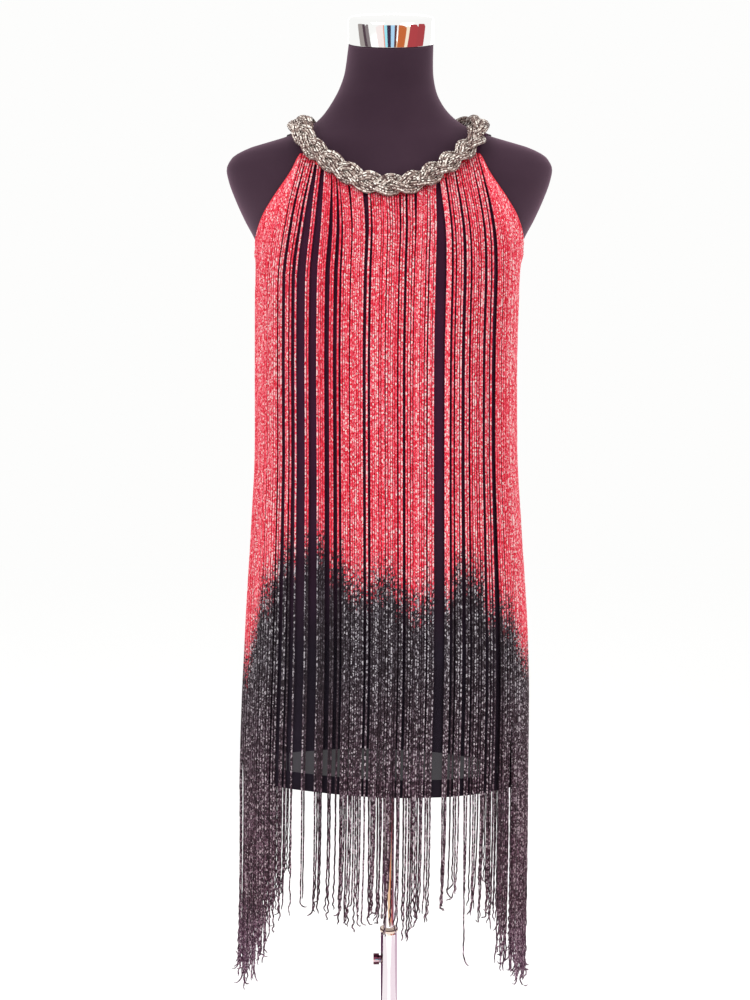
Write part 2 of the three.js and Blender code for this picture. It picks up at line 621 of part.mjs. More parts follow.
// ---------------------------------------------------------------- braided collar
function collarStrand(phase) {
  const half = COLLAR_LINE.map(({ turn, z, lift }) => ({ turn: THREE.MathUtils.degToRad(turn), z, lift }));
  const round = [...half, ...half.slice(1, -1).reverse().map((place) => ({ ...place, turn: -place.turn }))];
  const centre = new THREE.CatmullRomCurve3(round.map(({ turn, z, lift }) => lifted(turn, z, lift)), true);
  const outward = new THREE.CatmullRomCurve3(round.map(({ turn, z }) => supportNormal(turn, z)), true);
  const nearby = 0.002; // a small share of the way round, to measure the cord's direction
  const corePoint = (u) => {
    const v = ((u % 1) + 1) % 1;
    const t = centre.getUtoTmapping(v);
    const along = centre.getTangent(t);
    const out = outward.getPoint(t);
    out.addScaledVector(along, -out.dot(along)).normalize();
    const down = along.clone().cross(out);
    const wave = 2 * Math.PI * COLLAR.turns * v + phase;
    return {
      out,
      point: centre
        .getPoint(t)
        .addScaledVector(down, COLLAR.swing * Math.sin(wave))
        .addScaledVector(out, COLLAR.dive * Math.sin(2 * wave)),
    };
  };
  const rings = Array.from({ length: COLLAR.steps }, (_, i) => {
    const u = i / COLLAR.steps;
    const { out, point } = corePoint(u);
    const along = corePoint(u + nearby).point.sub(corePoint(u - nearby).point).normalize();
    const wide = along.clone().cross(out).normalize();
    const high = wide.clone().cross(along).normalize();
    return Array.from({ length: COLLAR.sides }, (_, s) => {
      const angle = ((s + 0.5) / COLLAR.sides) * 2 * Math.PI;
      return point
        .clone()
        .addScaledVector(wide, COLLAR.wide * Math.cos(angle))
        .addScaledVector(high, COLLAR.thick * Math.sin(angle));
    });
  });
  return loft(rings, true);
}

// ---------------------------------------------------------------- assembly
const dress = new THREE.Group();
const stand = standPieces();
dress.add(
  meshOf("stand_base", stand.base, STEEL),
  meshOf("stand_tube", stand.tube, CHROME),
  meshOf("tube_bush", stand.bush, NYLON),
  meshOf("thumbscrew", stand.thumbscrew, CHROME),
  meshOf("height_rod", stand.rod, CHROME),
  meshOf("dress_form", dressForm(), FORM_JERSEY),
  neckCap(),
  meshOf("slip_front", slipPanel(false), SLIP_JERSEY),
  meshOf("slip_back", slipPanel(true), SLIP_JERSEY),
  meshOf("neck_fringe", neckFringe(), RED_LUREX),
  meshOf("right_armhole_fringe", armholeFringe(-1), RED_LUREX),
  meshOf("left_armhole_fringe", armholeFringe(1), RED_LUREX),
);
["a", "b", "c"].forEach((letter, i) => {
  dress.add(meshOf(`collar_cord_${letter}`, collarStrand((i * 2 * Math.PI) / 3), SILVER_LUREX));
});

export default dress;
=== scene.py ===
# %% [markdown]
# A fringed halter mini dress on a limbless dress form. A thin black slip hangs on the form. Long
# lurex yarns hang over it from red knitted headers along the neckline and the armholes. They are
# dipped, red above and charcoal below. A thick silver braid lies round the neck.
# The solids already hold every size, so this file gives each piece its fine form and its finish.

# %% Load the frame
import math
import bpy
import numpy as np
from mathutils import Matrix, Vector, geometry


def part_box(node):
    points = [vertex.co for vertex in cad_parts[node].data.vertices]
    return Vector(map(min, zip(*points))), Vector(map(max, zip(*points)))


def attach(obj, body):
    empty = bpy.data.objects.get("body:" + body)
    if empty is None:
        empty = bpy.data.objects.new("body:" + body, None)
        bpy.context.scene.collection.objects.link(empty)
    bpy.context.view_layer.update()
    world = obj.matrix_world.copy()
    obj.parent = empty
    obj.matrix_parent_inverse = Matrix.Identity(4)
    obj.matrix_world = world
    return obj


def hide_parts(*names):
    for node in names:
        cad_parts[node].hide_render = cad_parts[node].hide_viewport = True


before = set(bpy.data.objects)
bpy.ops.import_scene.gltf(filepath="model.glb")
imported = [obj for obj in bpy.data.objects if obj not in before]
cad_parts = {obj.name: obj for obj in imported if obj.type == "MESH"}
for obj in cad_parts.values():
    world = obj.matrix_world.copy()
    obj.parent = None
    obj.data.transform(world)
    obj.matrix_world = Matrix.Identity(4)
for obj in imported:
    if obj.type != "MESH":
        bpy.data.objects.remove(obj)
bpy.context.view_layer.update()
MM = 0.001
print("nodes:", sorted(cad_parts))

# %% [markdown]
# The camera stands a little above the middle of the dress and looks slightly down, as someone who
# looks at a dress in a shop does. The lens keeps the whole fringe in the frame, and the stand runs
# out of it at the bottom.

# %% Camera
CAMERA_PLACE = Vector((-17, -1440, 1047.9)) * MM
CAMERA_DOWN = math.radians(2.5)
camera_data = bpy.data.cameras.new("camera")
camera_data.sensor_width = 36
camera_data.lens = 43.2
camera = bpy.data.objects.new("camera", camera_data)
bpy.context.scene.collection.objects.link(camera)
camera.location = CAMERA_PLACE
camera.rotation_euler = (math.pi / 2 - CAMERA_DOWN, 0, 0)
bpy.context.scene.camera = camera
bpy.context.scene.view_settings.view_transform = "Standard"
print("camera at", [round(c, 3) for c in camera.location])

# %% [markdown]
# Shop light is broad and nearly shadowless. A white world gives the fill, one large soft light
# stands on each side of the camera, and another behind the form lights the edges of the yarns.
# The floor is plain and as pale as the world, so the two run into each other without a line.

# %% Floor and light
def only(piece):
    """Leaves this piece alone selected and active."""
    bpy.ops.object.select_all(action="DESELECT")
    piece.select_set(True)
    bpy.context.view_layer.objects.active = piece


def area_light(name, place, aim, size, power):
    data = bpy.data.lights.new(name, "AREA")
    data.shape = "RECTANGLE"
    data.size, data.size_y = size
    data.energy = power
    light = bpy.data.objects.new(name, data)
    bpy.context.scene.collection.objects.link(light)
    light.location = place
    light.rotation_euler = (Vector(aim) - Vector(place)).to_track_quat("-Z", "Y").to_euler()


world = bpy.data.worlds.new("studio")
bpy.context.scene.world = world
world.use_nodes = True
world.node_tree.nodes["Background"].inputs["Color"].default_value = (0.982, 0.982, 0.975, 1)
world.node_tree.nodes["Background"].inputs["Strength"].default_value = 1.0
area_light("key", (-1.6, -2.4, 2.3), (0, 0, 1.0), (1.6, 1.6), 34)
area_light("fill", (1.9, -2.2, 1.5), (0, 0, 1.0), (1.8, 1.8), 20)
area_light("rim", (0.5, 1.9, 1.9), (0, 0, 1.0), (2.0, 1.2), 14)

bpy.ops.object.select_all(action="DESELECT")
bpy.ops.mesh.primitive_plane_add(size=14, location=(0, 2, -0.0005))
floor = bpy.context.object
floor.name = "floor"

# %% [markdown]
# Every finish below starts from one plain Principled shader. `finish` makes it, and `node` adds a
# pattern to it. A pattern reads Object coordinates on hard parts, and the piece's own UV map on yarn
# and cloth, so that it follows the thread wherever the thread goes.

# %% Helpers for materials
def finish(name, color, roughness, metallic=0.0, **sockets):
    material = bpy.data.materials.new(name)
    material.use_nodes = True
    shader = material.node_tree.nodes["Principled BSDF"]
    shader.inputs["Base Color"].default_value = (*color, 1)
    shader.inputs["Roughness"].default_value = roughness
    shader.inputs["Metallic"].default_value = metallic
    for socket, value in sockets.items():
        shader.inputs[socket.replace("_", " ")].default_value = value
    return material


def give(material, socket, value):
    """Sets a socket to a fixed value, or lets another node's output drive it."""
    if isinstance(value, bpy.types.NodeSocket):
        material.node_tree.links.new(value, socket)
    else:
        socket.default_value = value


def feed(material, socket, value):
    """Drives a socket of the material's own shader."""
    give(material, material.node_tree.nodes["Principled BSDF"].inputs[socket], value)


def node(material, kind, values=None, **settings):
    made = material.node_tree.nodes.new(kind)
    for key, value in settings.items():
        setattr(made, key, value)
    for key, value in (values or {}).items():
        give(material, made.inputs[key], value)
    return made


def ramp(material, source, stops, interpolation="LINEAR"):
    """A colour ramp from a value: stops are (position, colour) pairs."""
    made = node(material, "ShaderNodeValToRGB", {"Fac": source})
    made.color_ramp.interpolation = interpolation
    elements = made.color_ramp.elements
    while len(elements) < len(stops):
        elements.new(0.5)
    for element, (position, color) in zip(elements, stops):
        element.position = position
        element.color = (*color, 1)
    return made.outputs["Color"]


def mix_colors(material, share, first, second):
    """One colour where the share is 0 and another where it is 1, each fixed or from a ramp."""
    made = node(material, "ShaderNodeMix", {"Factor": share}, data_type="RGBA")
    for value, socket in ((first, made.inputs[6]), (second, made.inputs[7])):
        give(material, socket, (*value, 1) if isinstance(value, tuple) else value)
    return made.outputs[2]


def math_node(material, operation, first, second):
    return node(material, "ShaderNodeMath", {0: first, 1: second}, operation=operation).outputs[0]


def either_way(material, value, reach):
    """Turns a value from 0 to 1 into one as far below zero as above, reach wide in all."""
    return math_node(material, "MULTIPLY", math_node(material, "SUBTRACT", value, 0.5), reach)


def map_range(material, source, **limits):
    """Maps a value from one pair of limits to another, such as From_Min and To_Max."""
    values = {key.replace("_", " "): value for key, value in limits.items()}
    return node(material, "ShaderNodeMapRange", {"Value": source, **values}).outputs["Result"]


def attribute_of(material, name):
    return node(material, "ShaderNodeAttribute", attribute_name=name).outputs["Fac"]


def object_place(material):
    return node(material, "ShaderNodeTexCoord").outputs["Object"]


def thread_place(material):
    return node(material, "ShaderNodeUVMap", uv_map="UVMap").outputs["UV"]


def stretched(material, place, scale):
    return node(material, "ShaderNodeMapping", {"Vector": place, "Scale": scale}).outputs["Vector"]


def coordinate(material, place, axis):
    return node(material, "ShaderNodeSeparateXYZ", {"Vector": place}).outputs[axis]


def pattern(material, kind, place, values, **settings):
    """A procedural texture at the given coordinates."""
    return node(material, f"ShaderNodeTex{kind}", {"Vector": place, **values}, **settings)


def cell_values(material, cells):
    """Random values, each the same all over one cell of a pattern."""
    return node(material, "ShaderNodeSeparateColor", {"Color": cells.outputs["Color"]}).outputs


def bump(material, height, strength, distance):
    values = {"Height": height, "Strength": strength, "Distance": distance}
    feed(material, "Normal", node(material, "ShaderNodeBump", values).outputs["Normal"])


def dress_up(piece, material, body, replaced):
    """Gives a piece its material and body, and hides the solid that it stands for."""
    piece.data.materials.clear()
    piece.data.materials.append(material)
    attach(piece, body)
    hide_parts(replaced)
    print(piece.name, len(piece.data.polygons), "faces")


pale = finish("pale floor", (0.995, 0.995, 0.995), 0.95, Specular_IOR_Level=0.0)
floor.data.materials.append(pale)

# %% [markdown]
# The stand is bought metalwork: chromed tube, a chromed rod that slides in it, a small thumbscrew
# and a heavy plate. A bush of pale nylon with a dark rim closes the tube and guides the rod.

# %% Metal and plastic finishes
def chrome(name):
    material = finish(name, (0.95, 0.95, 0.94), 0.06, 1.0)
    smudges = pattern(material, "Noise", object_place(material),
                      {"Scale": 22.0, "Detail": 4.0, "Roughness": 0.6})
    wear = map_range(material, smudges.outputs["Fac"],
                     From_Min=0.35, From_Max=0.75, To_Min=0.02, To_Max=0.07)
    feed(material, "Roughness", wear)
    return material


def brushed_plate():
    material = finish("brushed plate", (0.62, 0.63, 0.64), 0.3, 1.0)
    rings = pattern(material, "Wave", object_place(material),
                    {"Scale": 60.0, "Distortion": 0.6, "Detail": 3.0},
                    wave_type="RINGS", rings_direction="Z")
    bump(material, rings.outputs["Fac"], 0.06, 0.0002)
    feed(material, "Roughness", map_range(material, rings.outputs["Fac"], To_Min=0.24, To_Max=0.38))
    return material


RIM_RADIUS = 0.0098  # the bush is dark outside this radius and above this height
RIM_Z = 0.4618


def moulded_nylon():
    material = finish("moulded nylon", (0.80, 0.66, 0.58), 0.5, Specular_IOR_Level=0.15)
    place = object_place(material)
    pores = pattern(material, "Noise", place, {"Scale": 900.0, "Detail": 2.0})
    bump(material, pores.outputs["Fac"], 0.15, 0.0001)
    clouded = ramp(material, pores.outputs["Fac"], (
        (0.35, (0.80, 0.62, 0.52)), (0.7, (0.88, 0.74, 0.64))))
    flat = node(material, "ShaderNodeVectorMath", {0: place, 1: (1, 1, 0)}, operation="MULTIPLY")
    far = node(material, "ShaderNodeVectorMath", {0: flat.outputs[0]}, operation="LENGTH")
    outer = math_node(material, "GREATER_THAN", far.outputs["Value"], RIM_RADIUS)
    upper = math_node(material, "GREATER_THAN", coordinate(material, place, "Z"), RIM_Z)
    rim = math_node(material, "MULTIPLY", outer, upper)
    feed(material, "Base Color", mix_colors(material, rim, clouded, (0.085, 0.03, 0.025)))
    return material


def knob_with_painted_highlight(middle):
    """Dark plum metal on the rim, and a painted highlight: pale round the middle of the knob."""
    material = chrome("knob with painted highlight")
    height = coordinate(material, object_place(material), "Z")
    off = math_node(material, "ABSOLUTE", math_node(material, "SUBTRACT", height, middle), 0)
    # Painted highlight: the metal is pale round the middle of the knob, standing in for the bright reflection
    # on its face.
    painted_highlight = map_range(material, off, From_Min=0.0014, From_Max=0.0028)
    feed(material, "Base Color", mix_colors(material, painted_highlight, (0.80, 0.62, 0.68), (0.13, 0.03, 0.06)))
    return material


screw_low, screw_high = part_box("thumbscrew")
SCREW_Z = (screw_low.z + screw_high.z) / 2
CHROME = chrome("chrome")
KNOB = knob_with_painted_highlight(SCREW_Z)
PLATE = brushed_plate()
NYLON = moulded_nylon()
print("finishes:", [made.name for made in (CHROME, KNOB, PLATE, NYLON)])

# %% [markdown]
# Chrome is nearly a mirror, and in a white room it would vanish. In a shop it shows thin stripes of
# what stands about: rails, doors, a window. So a row of upright cards stands in front of the form,
# each in one colour, and six more lie on the floor. Only mirrors see them: a card gives no light,
# casts no shadow and never shows itself.

# %% Cards that the chrome reflects
CARD_DISTANCE = 1.15
CARD_RISE = 0.003  # of the flat cards over the floor
# From and to, in degrees to the right of the front, then the foot, the top and the colour.
CARDS = (
    (-97, -82, 0.0, 1.60, (0.36, 0.32, 0.31)),
    (-82, -74, 0.0, 1.50, (0.09, 0.06, 0.075)),
    (-74, -64, 0.0, 1.40, (0.25, 0.21, 0.22)),
    (-43, -23, 0.36, 1.17, (0.98, 0.87, 0.86)),
    (-23, -20, 0.36, 1.14, (0.86, 0.30, 0.22)),
    (-20, -12, 0.36, 1.12, (0.36, 0.82, 0.95)),
    (-12, -1.4, 0.36, 1.11, (0.05, 0.03, 0.065)),
    (-1.4, 9.4, 0.36, 1.11, (0.44, 0.70, 0.93)),
    (9.4, 16, 0.36, 1.12, (0.12, 0.04, 0.04)),
    (20, 43, 0.0, 1.16, (0.59, 0.15, 0.045)),
    (43, 52, 0.0, 1.23, (0.98, 0.86, 0.68)),
    (52, 76, 0.0, 1.40, (0.45, 0.062, 0.07)),
    (76, 100, 0.0, 1.60, (0.42, 0.062, 0.07)),
)
# Middle, turn and size on the floor, and the colour.
FLOOR_CARDS = (
    ((-0.85, 0.90), -45, (1.0, 1.9), (0.10, 0.03, 0.08)),
    ((0.85, 0.90), 45, (1.0, 1.9), (0.62, 0.44, 0.55)),
    ((-0.10, -1.55), 0, (1.5, 0.8), (0.90, 0.60, 0.38)),
    ((0, -0.36), 0, (0.5, 0.5), (0.10, 0.02, 0.045)),
    ((0.66, -0.35), 0, (0.8, 1.1), (0.93, 0.79, 0.87)),
    ((-0.66, -0.35), 0, (0.8, 1.1), (0.96, 0.88, 0.92)),
)


def card(name, place, rotation, size, color):
    """A flat card that only mirrors see."""
    bpy.ops.object.select_all(action="DESELECT")
    bpy.ops.mesh.primitive_plane_add(size=1, location=place, rotation=rotation)
    piece = bpy.context.object
    piece.name = name
    piece.scale = (*size, 1)
    only(piece)
    bpy.ops.object.transform_apply(location=True, rotation=True, scale=True)
    piece.visible_camera = False
    piece.visible_diffuse = False
    piece.visible_shadow = False
    piece.visible_transmission = False
    glow = finish(name, (0, 0, 0), 1.0, Emission_Color=(*color, 1), Emission_Strength=1.0,
                  Specular_IOR_Level=0.0)
    piece.data.materials.append(glow)


for number, (start, end, foot, top, color) in enumerate(CARDS):
    middle = math.radians((start + end) / 2)
    half = math.radians((end - start) / 2)
    place = (CARD_DISTANCE * math.sin(middle), -CARD_DISTANCE * math.cos(middle), (foot + top) / 2)
    size = (2 * CARD_DISTANCE * math.tan(half), top - foot)
    card(f"card_{number}", place, (math.pi / 2, 0, middle), size, color)
for number, (middle, turn, size, color) in enumerate(FLOOR_CARDS):
    card(f"floor_card_{number}", (*middle, CARD_RISE), (0, 0, math.radians(turn)), size, color)
print(len(CARDS) + len(FLOOR_CARDS), "cards")

# %% [markdown]
# Turned parts come from a cylinder that is set to its size in the frame, inset and extruded where
# the diameter steps, and bevelled at the rims. The solids have 16 to 24 flat sides, which would
# show in chrome, so each is replaced by a round one of the same size. A short ring at each end of a
# long cylinder keeps the shading of the rounded rim from spreading down its side.

# %% Helpers for turned parts
def bake_place(piece):
    """Moves the piece's place into its mesh."""
    only(piece)
    bpy.ops.object.transform_apply(location=True, rotation=True, scale=True)


def turned(name, radius, low, high, sides=64):
    bpy.ops.object.select_all(action="DESELECT")
    bpy.ops.mesh.primitive_cylinder_add(
        vertices=sides, radius=radius, depth=high - low, location=(0, 0, (low + high) / 2))
    piece = bpy.context.object
    piece.name = name
    bake_place(piece)
    return piece


def pick_faces(piece, test):
    """Selects in edit mode the faces whose centre and normal pass the test."""
    only(piece)
    bpy.ops.object.mode_set(mode="EDIT")
    bpy.ops.mesh.select_all(action="DESELECT")
    bpy.ops.object.mode_set(mode="OBJECT")
    for face in piece.data.polygons:
        face.select = test(face.center, face.normal)
    bpy.ops.object.mode_set(mode="EDIT")
    bpy.ops.mesh.select_mode(type="FACE")


END_RING = 0.002


def long_turned(name, radius, low, high):
    """A long cylinder with a short ring at each end."""
    piece = turned(name, radius, low + END_RING, high - END_RING)
    for side in (1, -1):
        pick_faces(piece, lambda centre, normal: normal.z * side > 0.99)
        bpy.ops.mesh.extrude_region_move(TRANSFORM_OT_translate={"value": (0, 0, END_RING * side)})
        bpy.ops.object.mode_set(mode="OBJECT")
    return piece


def step_end(piece, radius_from, radius_to, rise):
    """Insets the top face to a smaller radius and raises or sinks it."""
    pick_faces(piece, lambda centre, normal: normal.z > 0.99)
    bpy.ops.mesh.inset(thickness=radius_from - radius_to)
    bpy.ops.mesh.extrude_region_move(TRANSFORM_OT_translate={"value": (0, 0, rise)})
    bpy.ops.object.mode_set(mode="OBJECT")


def raise_rings(piece, widest, rings):
    """Insets the top face ring by ring and raises what is inside: rings are (radius, rise) pairs."""
    pick_faces(piece, lambda centre, normal: normal.z > 0.99)
    for radius, rise in rings:
        bpy.ops.mesh.inset(thickness=widest - radius)
        bpy.ops.transform.translate(value=(0, 0, rise))
        widest = radius


def soften(piece, width, segments=3, angle=40):
    bevel = piece.modifiers.new("bevel", "BEVEL")
    bevel.width = width
    bevel.segments = segments
    bevel.limit_method = "ANGLE"
    bevel.angle_limit = math.radians(angle)
    only(piece)
    bpy.ops.object.modifier_apply(modifier="bevel")
    bpy.ops.object.shade_smooth_by_angle(angle=math.radians(35))


# %% Base plate
HUB_RADIUS = 0.017
SEAT_RADIUS = 0.0103
SEAT_DEPTH = 0.037
PLATE_RIM = 0.0065
PLATE_RINGS = ((0.060, 0.0045), (0.026, 0.004), (HUB_RADIUS, 0.007))  # radius and rise of each step
plate_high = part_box("stand_base")[1]
plate = turned("base_plate", plate_high.x, 0, PLATE_RIM, 128)
raise_rings(plate, plate_high.x, PLATE_RINGS)
hub = plate_high.z - PLATE_RIM - sum(rise for radius, rise in PLATE_RINGS)
bpy.ops.mesh.extrude_region_move(TRANSFORM_OT_translate={"value": (0, 0, hub)})
bpy.ops.mesh.inset(thickness=HUB_RADIUS - SEAT_RADIUS)
bpy.ops.mesh.extrude_region_move(TRANSFORM_OT_translate={"value": (0, 0, -SEAT_DEPTH)})
bpy.ops.object.mode_set(mode="OBJECT")
soften(plate, 0.0012)
dress_up(plate, PLATE, "stand", "stand_base")

# %% Tube, bush and rod
GAP = 0.0003  # between pieces that touch
TUBE_BORE = 0.0088
BUSH_BORE = 0.00675
tube_low, tube_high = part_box("stand_tube")
tube = long_turned("pole_tube", tube_high.x, tube_low.z, tube_high.z)
step_end(tube, tube_high.x, TUBE_BORE, -0.06)
soften(tube, 0.0005)
dress_up(tube, CHROME, "stand", "stand_tube")

bush_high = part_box("tube_bush")[1]
bush = turned("pole_bush", bush_high.x, tube_high.z + GAP, bush_high.z)
step_end(bush, bush_high.x, BUSH_BORE, -0.003)
soften(bush, 0.0006)
dress_up(bush, NYLON, "stand", "tube_bush")

rod_low, rod_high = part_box("height_rod")
rod = long_turned("pole_rod", rod_high.x, rod_low.z, rod_high.z)
soften(rod, 0.0008)
dress_up(rod, CHROME, "rod", "height_rod")

# %% [markdown]
# The thumbscrew is a short stem with a ribbed knob. The ribs are side faces of the knob, pushed out
# a little with narrow grooves left between them, which is how a knurl is drawn at this size.

# %% Thumbscrew
KNOB_SIDES = 40
KNOB_THICK = 0.007
RIB = 0.0005  # height of the ribs
STEM_RADIUS = 0.0025
STEM = 0.0046
groove_radius = (screw_high.z - screw_low.z) / 2 - RIB


def on_rib(centre, normal):
    place = round(math.atan2(centre.y, centre.x) * (KNOB_SIDES // 2) / math.pi)
    return abs(normal.z) < 0.5 and place % 4 < 2


knob = turned("thumbscrew_knob", groove_radius, 0, KNOB_THICK, KNOB_SIDES)
pick_faces(knob, on_rib)
bpy.ops.mesh.extrude_region_shrink_fatten(TRANSFORM_OT_shrink_fatten={"value": RIB})
bpy.ops.object.mode_set(mode="OBJECT")
step_end(knob, groove_radius, STEM_RADIUS, STEM)
soften(knob, 0.0003, 2, 30)
knob.rotation_euler = (0, math.pi / 2, 0)
knob.location = (screw_low.x, 0, SCREW_Z)
bake_place(knob)
dress_up(knob, KNOB, "screw", "thumbscrew")

# %% [markdown]
# The body of the form and the cloth share one set of horizontal ovals, the same that the solids
# have. Such a shape can't be pulled out of a primitive by hand, so each surface is worked out from
# the table and made directly. A row gives the height, the half width, the depth to the front and to
# the back, and how square the oval is, then how far its middle lies back and how much it slants.

# %% Sections of the body, in millimetres
COLUMNS = ("z", "half", "front", "back", "power", "shift", "tilt")
BUST_Z = 1235
HEM_Z = 655
FORM_ROWS = (
    (720, 150, 92, 96, 2, 0, 0),
    (728, 155, 96, 101, 2, 0, 0),
    (780, 158.5, 98, 107, 2, 0, 0),
    (850, 160, 99, 111, 2, 0, 0),
    (950, 144, 93, 97, 2, 0, 0),
    (1050, 118, 82, 75, 2, 0, 0),
    (1130, 127, 92, 80, 2, 0, 0),
    (1185, 140, 108, 88, 2, 0, 0),
    (BUST_Z, 150.3, 122, 95, 2, 0, 0),
    (1262, 151.5, 113, 97.5, 2.05, 0, 0),
    (1290, 158, 100, 98, 2.15, 0, 0),
    (1318, 172, 88, 97, 2.3, 0, 0),
    (1340, 182, 79, 94, 2.4, 0, 0),
    (1362, 190, 73, 89, 2.5, 0, 0),
    (1375, 192.5, 69, 84, 2.5, 0, 0),
    (1387, 187.5, 65.5, 79, 2.4, 0, 0),
    (1397, 172.5, 63, 76, 2.2, 0, 0),
    (1405, 148.5, 61, 73, 2, 0, 0),
    (1412.5, 124, 59.5, 70, 1.9, 0, 0),
    (1421, 101.5, 58.5, 67.5, 1.9, 0, 0),
    (1433, 82, 58, 65, 1.95, 0, 0),
    (1450, 67, 56.5, 59, 2, -1, 0),
    (1470, 56.8, 53, 53, 2, -4.5, 0.1),
    (1490, 51.8, 50, 50, 2, -8, 0.25),
    (1521, 49.6, 46.6, 46.6, 2, -11, 0.445),
)
HANG_ROWS = (
    (600, 167.8, 107, 110, 2, 0, 0),
    (HEM_Z, 167.8, 107, 110, 2, 0, 0),
    (743, 166.5, 107.8, 111.5, 2, 0, 0),
    (840, 162.6, 109, 113, 2, 0, 0),
    (950, 155.4, 111.8, 108, 2, 0, 0),
    (1050, 150, 115.5, 102, 2, 0, 0),
    (1150, 149.4, 119.2, 98, 2, 0, 0),
)
FORM = np.array(FORM_ROWS)
SUPPORT = np.array(HANG_ROWS + tuple(row for row in FORM_ROWS if row[0] >= BUST_Z))
# The form and the cloth stand a little askew: heights, and how far their middle lies to the side.
LEAN_Z = np.array([HEM_Z, 840, 1130, BUST_Z, 1300, 1400, 1450, 1490, 1521.0])
LEAN_X = np.array([-6.5, -3.4, -4, -2.6, 0, 0, -3.5, -0.5, 1.8])
SLIP_OUT = 2.3  # from the body to the outside of the slip
print("form from", FORM[0, 0], "to", FORM[-1, 0], "mm high")

# %% [markdown]
# A place on the body is an angle from the front and a height. `section` gives its point on the ovals,
# `surface_normal` the way that the surface faces there, and `lifted` a point just off the surface.
# Everything that lies on the body is made from these, so that it follows the body all round.

# %% Places on the body
def smooth_column(rows, places, at):
    """A monotone cubic through one column of a table, as the solids use."""
    at = np.clip(at, places[0], places[-1])
    steps = np.diff(places)
    slopes = np.diff(rows) / steps
    tangents = np.empty(len(rows))
    tangents[0], tangents[-1] = slopes[0], slopes[-1]
    before, after = slopes[:-1], slopes[1:]
    together = before * after
    total = np.where(before + after == 0, 1, before + after)
    tangents[1:-1] = np.where(together <= 0, 0, 2 * together / total)
    i = np.clip(np.searchsorted(places, at, side="right") - 1, 0, len(steps) - 1)
    t = (at - places[i]) / steps[i]
    square, cube = t * t, t * t * t
    return ((2 * cube - 3 * square + 1) * rows[i] + (cube - 2 * square + t) * steps[i] * tangents[i]
            + (3 * square - 2 * cube) * rows[i + 1] + (cube - square) * steps[i] * tangents[i + 1])


def section(table, turn, z):
    """Points of a body surface, in millimetres, at angles from the front and heights."""
    turn, z = np.broadcast_arrays(np.asarray(turn, float), np.asarray(z, float))
    half, front, back, power, shift, tilt = (
        smooth_column(table[:, c], table[:, 0], z) for c in range(1, len(COLUMNS)))
    across = np.sin(turn)
    depth = np.where(np.cos(turn) >= 0, -front, back)
    y = depth * np.maximum(0, 1 - np.abs(across) ** power) ** (1 / power)
    lean = smooth_column(LEAN_X, LEAN_Z, z)
    return np.stack([half * across + lean, y + shift, z + tilt * y], axis=-1)


def unit(vectors):
    return vectors / np.linalg.norm(vectors, axis=-1, keepdims=True)


def surface_normal(table, turn, z):
    around = section(table, turn + 0.02, z) - section(table, turn - 0.02, z)
    up = section(table, turn, z + 0.8) - section(table, turn, z - 0.8)
    return unit(np.cross(around, up))


def lifted(turn, z, lift):
    return section(SUPPORT, turn, z) + surface_normal(SUPPORT, turn, z) * np.asarray(lift)[..., None]


def half_width(z):
    return smooth_column(SUPPORT[:, 1], SUPPORT[:, 0], np.asarray(z, float))


def turn_of(x, z, back=False):
    """The angle at which the body is x wide at a height, on its front or its back."""
    turn = np.arcsin(np.clip(x / half_width(z), -1, 1))
    return np.where(back, math.pi - turn, turn)


def stations(edge):
    """Places on the body, as pairs of angle and height, from pairs of x and height."""
    return [(float(turn_of(x, z)), z) for x, z in edge]


def lengths_along(points):
    """How far each point lies along the line through them all."""
    return np.concatenate([[0], np.cumsum(np.linalg.norm(np.diff(points, axis=0), axis=1))])


print("half width at the bust", round(float(half_width(BUST_Z)), 1), "mm")

# %% [markdown]
# The helpers below turn points into a mesh. A grid of points becomes rows of quads, and a piece may
# carry a UV pair and other numbers at each point, which its finish reads.

# %% Meshes from points
def mesh_piece(name, points, faces, uv=None):
    """A mesh from points in millimetres. uv holds a pair for each point."""
    mesh = bpy.data.meshes.new(name)
    mesh.from_pydata((np.asarray(points) * MM).tolist(), [], [tuple(face) for face in faces])
    mesh.update()
    if uv is not None:
        layer = mesh.uv_layers.new(name="UVMap")
        corners = np.zeros(len(mesh.loops), np.int32)
        mesh.loops.foreach_get("vertex_index", corners)
        layer.data.foreach_set("uv", np.asarray(uv, np.float32)[corners].ravel())
    piece = bpy.data.objects.new(name, mesh)
    bpy.context.scene.collection.objects.link(piece)
    mesh.polygons.foreach_set("use_smooth", np.ones(len(mesh.polygons), bool))
    return piece


def point_values(piece, **columns):
    """Stores a number at each point of a mesh, under each name, for a finish to read."""
    for name, values in columns.items():
        attribute = piece.data.attributes.new(name, "FLOAT", "POINT")
        attribute.data.foreach_set("value", np.asarray(values, np.float32))


def grid_faces(rows, columns, closed, looped=False):
    """Quads between the points of a grid, rows from below. A closed grid goes round each row, and a
    looped one goes on from its last row to the first."""
    r, c = np.meshgrid(
        np.arange(rows if looped else rows - 1), np.arange(columns if closed else columns - 1), indexing="ij")
    here, above = r * columns, (r + 1) % rows * columns
    beside = (c + 1) % columns
    return np.stack([here + c, here + beside, above + beside, above + c], axis=-1).reshape(-1, 4)


def tube_turns(sides):
    return np.linspace(0, 2 * math.pi, sides, endpoint=False)


def tube_rings(across, up, around, width=1.0, height=1.0):
    """The corners of a tube about each point of its middle line, from the two directions across it."""
    return (across[:, None] * (np.cos(around) * width)[None, :, None]
            + up[:, None] * (np.sin(around) * height)[None, :, None])


def tube_uv(around, lengths, spin=0.0, shift=0.0):
    """A UV map that goes once round the tube and then along it, in metres."""
    u = around[None, :] / (2 * math.pi) + spin
    v = lengths[:, None] / 1000 + shift
    return np.stack(np.broadcast_arrays(u, v), -1).reshape(-1, 2)


def face_outwards(piece):
    only(piece)
    bpy.ops.object.mode_set(mode="EDIT")
    bpy.ops.mesh.select_all(action="SELECT")
    bpy.ops.mesh.normals_make_consistent(inside=False)
    bpy.ops.object.mode_set(mode="OBJECT")


